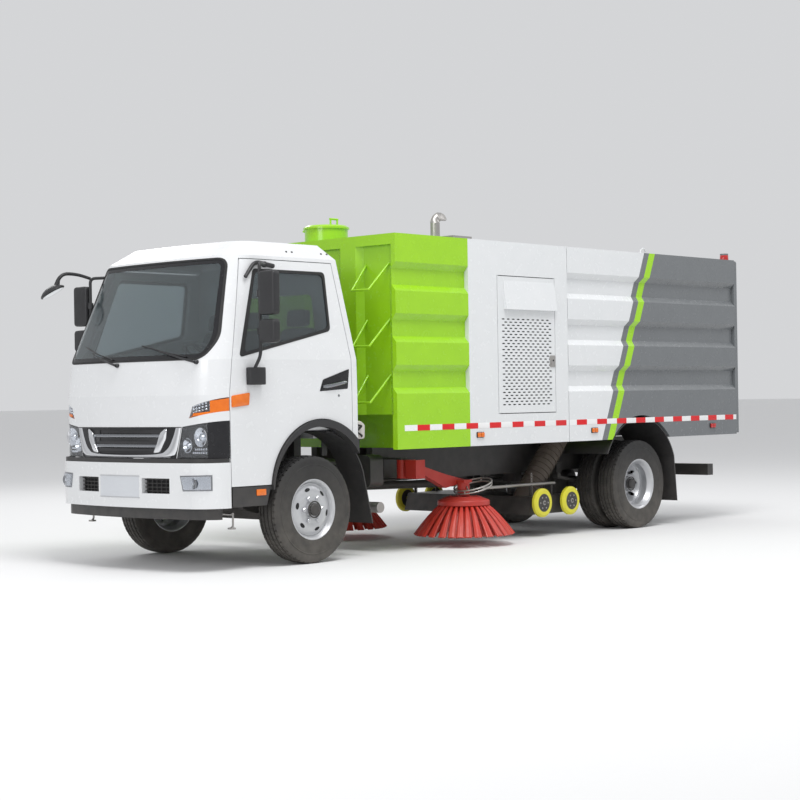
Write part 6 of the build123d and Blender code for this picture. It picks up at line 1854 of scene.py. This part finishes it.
@dataclass
class Pad:
    """One stuffed seat part: a soft-cornered block that swells in its middle between sewn lines.

    Its outside is a superellipsoid about a centre, leaned back by shearing X with height. Its
    thinnest way is full in the middle and falls off towards the sides, less narrow valleys along
    the sewn lines.
    """

    centre: Triple
    half: Triple
    lean: float = 0.0
    seams: tuple[float, ...] = (-0.13, 0.13)
    power: float = 0.34
    swell: float = 0.14
    seam_depth: float = 0.05
    seam_half: float = 0.006

    def squared(self, wave: Array) -> Array:
        """Sine or cosine raised to the pad's power with its sign kept, which squares a round."""
        return np.sign(wave) * np.abs(wave) ** self.power

    def net(self) -> Array:
        """Net of the pad's outside.

        Returns:
            Places by row from foot to top and column round it.
        """
        up = np.linspace(-math.pi / 2 + 0.02, math.pi / 2 - 0.02, 29)[:, None]
        turn = whole_turn(72)[None]
        x = self.squared(np.cos(up)) * self.squared(np.cos(turn))
        y = self.squared(np.cos(up)) * self.squared(np.sin(turn))
        z = self.squared(np.sin(up)) * np.ones_like(turn)
        fullness = (1 - y ** 2) * (1 - np.minimum(np.abs(x), np.abs(z)) ** 2)
        crown = 1 - self.swell + self.swell * fullness
        valley = sum(self.seam_depth * np.exp(-((y * self.half[1] - seam) / self.seam_half) ** 2)
                     for seam in self.seams)
        scale = [np.ones_like(x)] * 3
        scale[int(np.argmin(self.half))] = crown - valley
        places = np.stack([x * scale[0] * self.half[0], y * self.half[1], z * scale[2] * self.half[2]], -1)
        places[..., 0] -= self.lean * places[..., 2]
        return places + np.array(self.centre)


@dataclass
class Seats:
    """Three padded seats on black boxes, in place of the plain solids."""

    middles: tuple[float, ...] = (0.564, 0.0, -0.5425)
    back: float = 2.392
    floor: float = 1.25
    box_rear: float = 0.02
    box_front: float = 0.5
    box_half: float = 0.21
    box_top: float = 1.47
    rod_half: float = 0.06

    def pads(self, middle: float) -> dict[str, Pad]:
        """Cushion, back and head rest of the seat whose middle is at this Y, by name."""
        return {"cushion": Pad((self.back + 0.31, middle, 1.525), (0.245, 0.238, 0.066)),
                "back": Pad((self.back + 0.1, middle, 1.86), (0.06, 0.232, 0.285), 0.16),
                "head": Pad((self.back + 0.062, middle, 2.235), (0.05, 0.128, 0.08), 0.1, ())}

    def build(self) -> None:
        """Build boxes, cushions, backs and head rests."""
        boxes = Form()
        for number, middle in enumerate(self.middles):
            boxes.block((self.back + self.box_rear, middle - self.box_half, self.floor),
                        (self.back + self.box_front, middle + self.box_half, self.box_top), 0.02)
            for part, pad in self.pads(middle).items():
                form = Form().surface(pad.net(), close_v=True, caps=True)
                made = form.piece(f"seat_{part}_{number}", SEAT_CLOTH, "cab", "seat_cloth", 60.0)
            for y in (middle - self.rod_half, middle + self.rod_half):
                boxes.tube(((self.back + 0.07, y, 2.1), (self.back + 0.062, y, 2.2)), 0.007, 8)
        boxes.piece("seat_boxes", PLASTIC, "cab", "black_plastic")
        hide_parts("cab_seats")


# Bumper and body


BUMPER = CabFace(levels=((0.4, 1.335, 1.245, 0.975, 0.88, 1.085), (1.1, 1.335, 1.245, 0.975, 0.88, 1.085)))


@dataclass
class BumperTrim:
    """Blank plate, air intakes, fog lamps, dark strip above that is part black step and part painted shade
    of the gap under the lamps, and valance and spray bar below.
    """

    plate_half: float = 0.27
    plate_low: float = 0.645
    plate_high: float = 0.825
    plate_edge: float = 0.006
    intake: Pair = (0.3, 0.645)
    slats: int = 4
    slat_foot: float = 0.696
    slat_pitch: float = 0.033
    ribs: int = 6
    rib_first: float = 0.335
    rib_pitch: float = 0.055
    strip_half: float = 1.08
    valance_half: float = 1.04
    fog_bowl: Pair = (0.905, 0.771)
    fog_ring: Rows = ((0.0, 0.044), (0.006, 0.045), (0.006, 0.036))
    fog_section: Rows = (
        (0.0, 0.037), (0.005, 0.036), (0.002, 0.024), (0.006, 0.014), (0.009, 0.004))
    spray_x: float = 3.68
    spray_half: float = 0.985
    spray_bar: float = 0.49
    spray_tip: float = 0.385
    hanger_y: float = 0.38
    hanger_top: float = 0.665

    def patch(self, form: Form, y: Pair, z: Pair, proud: float,
              thick: float, columns: int = 32) -> Form:
        """Add a closed panel that follows the bumper's bow.

        Its places across are the middle plus half the width times the sine of an even turn, so
        that they lie closest at the ends, where the bow is sharpest.

        Args:
            form: Form to add to.
            y: Ends across the bumper.
            z: Lower and upper edge.
            proud: Distance of its front ahead of the bumper's face.
            thick: Thickness behind that.
            columns: Places across.

        Returns:
            The form.
        """
        turn = np.linspace(-TAU / 4, TAU / 4, columns)
        across = (y[0] + y[1]) / 2 + (y[1] - y[0]) / 2 * np.sin(turn)
        x = BUMPER.front(across, np.full(columns, 0.7)) + proud
        rows = ((0.0, z[0]), (0.0, z[1]), (-thick, z[1]), (-thick, z[0]))
        net = np.stack([np.stack([x + shift, across, np.full(columns, height)], -1)
                        for shift, height in rows], 1)
        return form.surface(net, close_v=True, caps=True)

    def build(self) -> None:
        """Build every trim piece of the bumper."""
        body = "chassis"
        half, low, high = self.plate_half, self.plate_low, self.plate_high
        plate = self.patch(Form(), (-half, half), (low, high), 0.002, 0.012)
        plate.piece("blank_plate", PLATE_WHITE, body, "bumper_paint")
        edge = Form()
        span = (-half - self.plate_edge, half + self.plate_edge)
        for z in (low - 0.004, high + 0.004):
            self.patch(edge, span, (z - 0.005, z + 0.005), 0.0035, 0.012)
        edge.piece("plate_edges", WHEEL_SILVER, body, "rod_chrome")
        self.intakes(body)
        # Dark strip on the bumper's top: partly its black plastic step, partly painted shade of the gap
        # below the lamps.
        strip = self.patch(Form(), (-self.strip_half, self.strip_half), (0.938, 0.982), -0.012, 0.018, 90)
        strip.piece("bumper_step_and_gap_shade", GUARD_BLACK, body, "black_plastic")
        span = (-self.valance_half, self.valance_half)
        valance = self.patch(Form(), span, (0.455, 0.556), -0.06, 0.03, 70)
        valance.piece("valance", GUARD_BLACK, body, "black_plastic")
        self.fog_lamps(body)
        self.spray_tips(body)

    def intakes(self, body: str) -> None:
        """Build dark backs that stand for the painted shade deep in both air intakes, and level slats and
        upright ribs in them.

        Args:
            body: Body they ride on.
        """
        dark, slats = Form(), Form()
        for side in (1, -1):
            span = tuple(sorted(side * end for end in self.intake))
            # Near-black sheet at the intake's back: painted shade inside the opening.
            self.patch(dark, span, (0.672, 0.82), -0.064, 0.006)
            for step in range(self.slats):
                z = self.slat_foot + self.slat_pitch * step
                self.patch(slats, span, (z, z + 0.007), -0.04, 0.016)
            for step in range(self.ribs):
                y = side * (self.rib_first + self.rib_pitch * step)
                self.patch(slats, (y - 0.003, y + 0.003), (0.68, 0.812), -0.045, 0.01, 3)
        dark.piece("intake_shade_backs", HOLE_SHADE_AND_BLACK, body, "black_plastic")
        slats.piece("intake_slats", GUARD_BLACK, body, "black_plastic")

    def fog_lamps(self, body: str) -> None:
        """Build bright bowls behind clear lenses, in dark rings on the bumper's corners.

        Args:
            body: Body they ride on.
        """
        ring, lens, bright = Form(), Form(), Form()
        y, z = self.fog_bowl
        x = BUMPER.nose(y, z) + 0.001
        for side in (1, -1):
            for form, grow, proud, thick in ((ring, 0.012, 0.002, 0.006), (bright, 0.0, 0.003, 0.003),
                                             (lens, -0.002, 0.012, 0.003)):
                strip = Wrap((0.8 - grow, 0.77 - grow), (0.716 - grow, 0.72 - grow),
                             (0.826 + grow, 0.832 + grow), end=1.15 - grow, split=0.5, face=BUMPER)
                strip.solid(form, side, proud, thick)
            ring.lathe(self.fog_ring, (x, side * y, z), axis=0, sides=28)
            bright.lathe(self.fog_section, (x, side * y, z), axis=0, sides=28)
        ring.piece("fog_rings", DARK_CHROME, body, "lamp_glass")
        bright.piece("fog_bowls", CHROME, body, "lamp_glass")
        lens.piece("fog_lenses", LAMP_LENS, body, "lamp_glass")

    def spray_tips(self, body: str) -> None:
        """Build the spray bar behind the valance, hung from the rails, with a flat tip at each end.

        Args:
            body: Body it rides on.
        """
        form = Form()
        x, end, bar, tip = self.spray_x, self.spray_half, self.spray_bar, self.spray_tip
        form.tube(((x, -end, bar), (x, end, bar)), 0.014, 12)
        for side in (1, -1):
            y, hanger = side * end, side * self.hanger_y
            form.tube(((x, hanger, bar), (x, hanger, self.hanger_top)), 0.01, 10)
            form.tube(bent(((x, y, bar), (x, y, tip), (x + 0.02, y, tip - 0.013)), 0.015), 0.009, 10)
            form.block((x - 0.01, y - 0.03, tip - 0.024), (x + 0.04, y + 0.03, tip - 0.009), 0.008, 0.003)
        form.piece("spray_tips", STEEL, body, "rod_chrome")


@dataclass
class BodySides:
    """Reflective tape, side markers, perforated door panels, latches, beacons and lifting eyes.

    A tape is its name's word, the body it rides on, and its front and rear end. The panel of holes
    is its front and rear end, and its lowest and highest row.
    """

    face: float = 1.18
    sunk: float = 0.0002
    tapes: tuple[tuple[str, str, float, float], ...] = (
        ("front", "chassis", 1.68, -0.838), ("rear", "hopper_body", -0.856, -4.048))
    tape_low: float = 1.163
    tape_high: float = 1.219
    lamps: tuple[tuple[float, str, Finish], ...] = (
        (0.588, "chassis", AMBER), (-1.279, "hopper_body", AMBER), (-3.539, "hopper_body", RED_LENS))
    lamp_height: float = 1.1
    lamp_foot: Pair = (0.056, 0.028)
    lens_half: float = 0.023
    lens_shift: float = 0.026
    columns: int = 10
    rows: int = 29
    panel: tuple[float, float, float, float] = (0.205, -0.545, 1.392, 2.252)
    hole: Pair = (0.047, 0.0135)
    latch_middle: Pair = (-0.577, 1.831)
    latch_half: Pair = (0.044, 0.06)
    paddle_half: Pair = (0.026, 0.036)
    paddle_drop: float = 0.006
    key_rise: float = 0.008
    beacon: Pair = (-3.97, 1.098)
    beacon_profile: Rows = (
        (3.031, 0.051), (3.036, 0.0515), (3.085, 0.0495), (3.103, 0.043), (3.11, 0.028), (3.112, 0.008))
    eye: Triple = (-2.26, 1.15, 3.022)
    eye_half: float = 0.05
    eye_height: float = 0.062

    def build(self) -> None:
        """Build both sides."""
        low, high = self.tape_low, self.tape_high
        for hand, side in (("left", 1), ("right", -1)):
            for part, body, front, rear in self.tapes:
                box = ((front, low), (front, high), (rear, high), (rear, low))
                tape = side_plate(Form(), side, box, self.face - self.sunk, 0.0014, 0.002, 0.0004)
                tape.piece(f"tape_{part}_{hand}", TAPE, body, "body_paint")
            self.markers(hand, side)
            self.holes(hand, side)
            self.latch(hand, side)
        self.beacons()
        self.eyes()

    def markers(self, hand: str, side: int) -> None:
        """Build amber and red marker lamps on dark feet below the tape.

        Args:
            hand: The side's name.
            side: 1 left, -1 right.
        """
        half = self.lens_half
        for number, (x, body, finish) in enumerate(self.lamps):
            foot = side_plate(Form(), side, oblong(x, self.lamp_height, *self.lamp_foot),
                              self.face - self.sunk, 0.008, 0.008, 0.002)
            foot.piece(f"marker_foot_{number}_{hand}", FRIT, body, "black_plastic")
            lens = Form()
            for shift in (-self.lens_shift, self.lens_shift):
                side_plate(lens, side, oblong(x + shift, self.lamp_height, half, half), self.face + 0.006,
                           0.014, 0.008, 0.005)
            lens.piece(f"marker_lens_{number}_{hand}", finish, body, "lamp_glass")

    def holes(self, hand: str, side: int) -> None:
        """Build rows of long holes as dark sunk ovals of painted shade, every other row shifted by half a
        step.

        Args:
            hand: The side's name.
            side: 1 left, -1 right.
        """
        form = Form()
        front, rear, low, high = self.panel
        step = (front - rear) / (self.columns - 0.5)
        rise = (high - low) / (self.rows - 1)
        flat = oval(*self.hole, steps=12)
        for row in range(self.rows):
            for column in range(self.columns):
                x = front - step * (column + 0.5 * (row % 2))
                place = (x, side * (self.face - 0.0004), low + rise * row)
                # Dark oval on the door's face: painted shade in a perforation.
                form.plate(flat, place, (-side, 0, 0), (0, 0, 1), 0.001, 0.0003, 1)
        form.piece(f"door_holes_{hand}", HOLE_SHADE_AND_BLACK, f"bay_door_{hand}", "black_plastic")

    def latch(self, hand: str, side: int) -> None:
        """Build the steel paddle latch with its keyhole, a dark disc of painted shade, over the solid's
        latch plate.

        Args:
            hand: The side's name.
            side: 1 left, -1 right.
        """
        x, z = self.latch_middle
        body = f"bay_door_{hand}"
        plate = side_plate(Form(), side, oblong(x, z, *self.latch_half), self.face, 0.0095, 0.012, 0.003)
        paddle = oblong(x, z - self.paddle_drop, *self.paddle_half)
        side_plate(plate, side, paddle, self.face + 0.009, 0.005, 0.008, 0.002)
        plate.piece(f"latch_{hand}", STEEL, body, "rod_chrome")
        # Near-black disc: painted shade in the keyhole.
        place = (x, side * (self.face + 0.0138), z + self.key_rise)
        key = Form().lathe(outward(side, (0.0, 0.01), (0.003, 0.01), (0.004, 0.007)), place, sides=20)
        key.piece(f"latch_key_{hand}", HOLE_SHADE_AND_BLACK, body, "black_plastic")

    def beacons(self) -> None:
        """Build red lenses over the two roof lamps at the hopper's rear corners."""
        form = Form()
        x, y = self.beacon
        for side in (1, -1):
            form.lathe(self.beacon_profile, (x, side * y, 0.0), axis=2, sides=32)
        form.piece("beacons", RED_LENS, "hopper_body", "lamp_glass")

    def eyes(self) -> None:
        """Build one half-round lifting eye on each top edge of the hopper."""
        form = Form()
        x, y, z = self.eye
        turn = np.linspace(0, math.pi, 13)
        for side in (1, -1):
            arc = np.stack([x + self.eye_half * np.cos(turn), np.full(13, side * y),
                            z + self.eye_height * np.sin(turn)], -1)
            form.tube(arc, 0.006, 8)
        form.piece("lifting_eyes", BODY_WHITE, "hopper_body", "body_paint")


@dataclass
class RearLamps:
    """Red and amber lenses on the rear lamp boxes, each from one distance off the middle to another."""

    face: float = -3.809
    low: float = 0.545
    high: float = 0.625
    outer_red: Pair = (0.985, 0.875)
    amber: Pair = (0.868, 0.778)
    inner_red: Pair = (0.771, 0.655)

    def build(self) -> None:
        """Build the lenses on both sides."""
        red, amber = Form(), Form()
        for side in (1, -1):
            for form, span in ((red, self.outer_red), (amber, self.amber), (red, self.inner_red)):
                start, stop = sorted(side * end for end in span)
                flat = rounded(oblong_from(0, 0, stop - start, self.high - self.low), 0.014)
                form.plate(flat, (self.face + 0.001, stop, self.low), (0, -1, 0), (0, 0, 1), 0.016, 0.005)
        red.piece("rear_lenses_red", RED_LENS, "chassis", "lamp_glass")
        amber.piece("rear_lenses_amber", AMBER, "chassis", "lamp_glass")


@dataclass
class SmallTrim:
    """Sill markers, roof bolts, the bottle behind the cab and the nozzle's bright bars.

    The bottle's outline is X with its sign turned and height, and its hose a line of places.
    """

    sill: Pair = (3.435, 0.6725)
    sill_half: Pair = (0.055, 0.0275)
    bolts: tuple[float, ...] = (2.906, 2.837, 2.467, 2.393)
    bolt_height: float = 2.812
    bar_y: float = 0.82
    bar_z: float = 0.545
    bar_ends: Pair = (0.16, -1.032)
    bottle_outline: Rows = (
        (-2.185, 1.099), (-2.005, 1.099), (-1.998, 1.235), (-2.06, 1.272), (-2.178, 1.262))
    bottle_start: float = 0.865
    bottle_width: float = 0.11
    bottle_hose: tuple[Triple, ...] = (
        (2.15, 0.985, 1.235), (2.06, 0.99, 1.222), (2.14, 0.99, 1.17), (2.055, 0.988, 1.13),
        (2.05, 0.94, 1.106))
    bottle_cap: Rows = ((1.262, 0.026), (1.288, 0.026), (1.292, 0.022))

    def build(self) -> None:
        """Build each of them."""
        lens, bolts, bars = Form(), Form(), Form()
        for side in (1, -1):
            side_plate(lens, side, oblong(*self.sill, *self.sill_half), 1.083, 0.012, 0.008, 0.004)
            y = side * CAB.beside(self.bolt_height)
            for x in self.bolts:
                bolts.lathe(outward(side, (-0.004, 0.01), (0.003, 0.01), (0.007, 0.006)),
                            (x, y, self.bolt_height), sides=12)
            bars.tube([(x, side * self.bar_y, self.bar_z) for x in self.bar_ends], 0.0165, 16)
        lens.piece("sill_markers", AMBER, "cab", "lamp_glass")
        bolts.piece("roof_bolts", PLASTIC, "cab", "black_plastic")
        bars.piece("nozzle_bars", STEEL, "nozzle", "rod_chrome")
        self.bottle()

    def bottle(self) -> None:
        """Build the pale bottle with a cap and a hose, on a bracket from the left rail."""
        stay = Form().block((2.05, 0.5, 1.088), (2.12, 0.965, 1.098), 0.004, 0.002)
        stay.block((2.05, 0.5, 0.94), (2.12, 0.512, 1.098), 0.004, 0.002)
        stay.piece("bottle_bracket", CHASSIS_BLACK, "chassis", "chassis_paint")
        outline = rounded(self.bottle_outline, 0.028, 6)
        body = Form().plate(outline, (0.0, self.bottle_start, 0.0), (-1, 0, 0), (0, 0, 1),
                            self.bottle_width, 0.016, 5)
        body.piece("bottle", BOTTLE, "chassis", "body_paint")
        hose = Form().tube(bent(self.bottle_hose, 0.02, 6), 0.009, 10)
        hose.lathe(self.bottle_cap, (2.11, 0.92, 0.0), axis=2, sides=20)
        hose.piece("bottle_hose", RUBBER, "chassis", "hose_rubber")


def main() -> None:
    """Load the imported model, build every sub-assembly and report it."""
    logging.basicConfig(level=logging.INFO, format="%(name)s: %(message)s")
    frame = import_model()
    Coats().build(frame)
    for group in (Wheels(), HeadLamps(), Grille(), Windscreen(), Doors(), Mirrors(), Seats(), BumperTrim(),
                  BodySides(), NozzleTrim(), RearLamps(), SmallTrim(), Studio()):
        group.build()
        LOG.info("built %s", type(group).__name__)
    for hand, side in (("left", 1), ("right", -1)):
        SideBrush().build(hand, side)


if __name__ == "__main__":
    main()
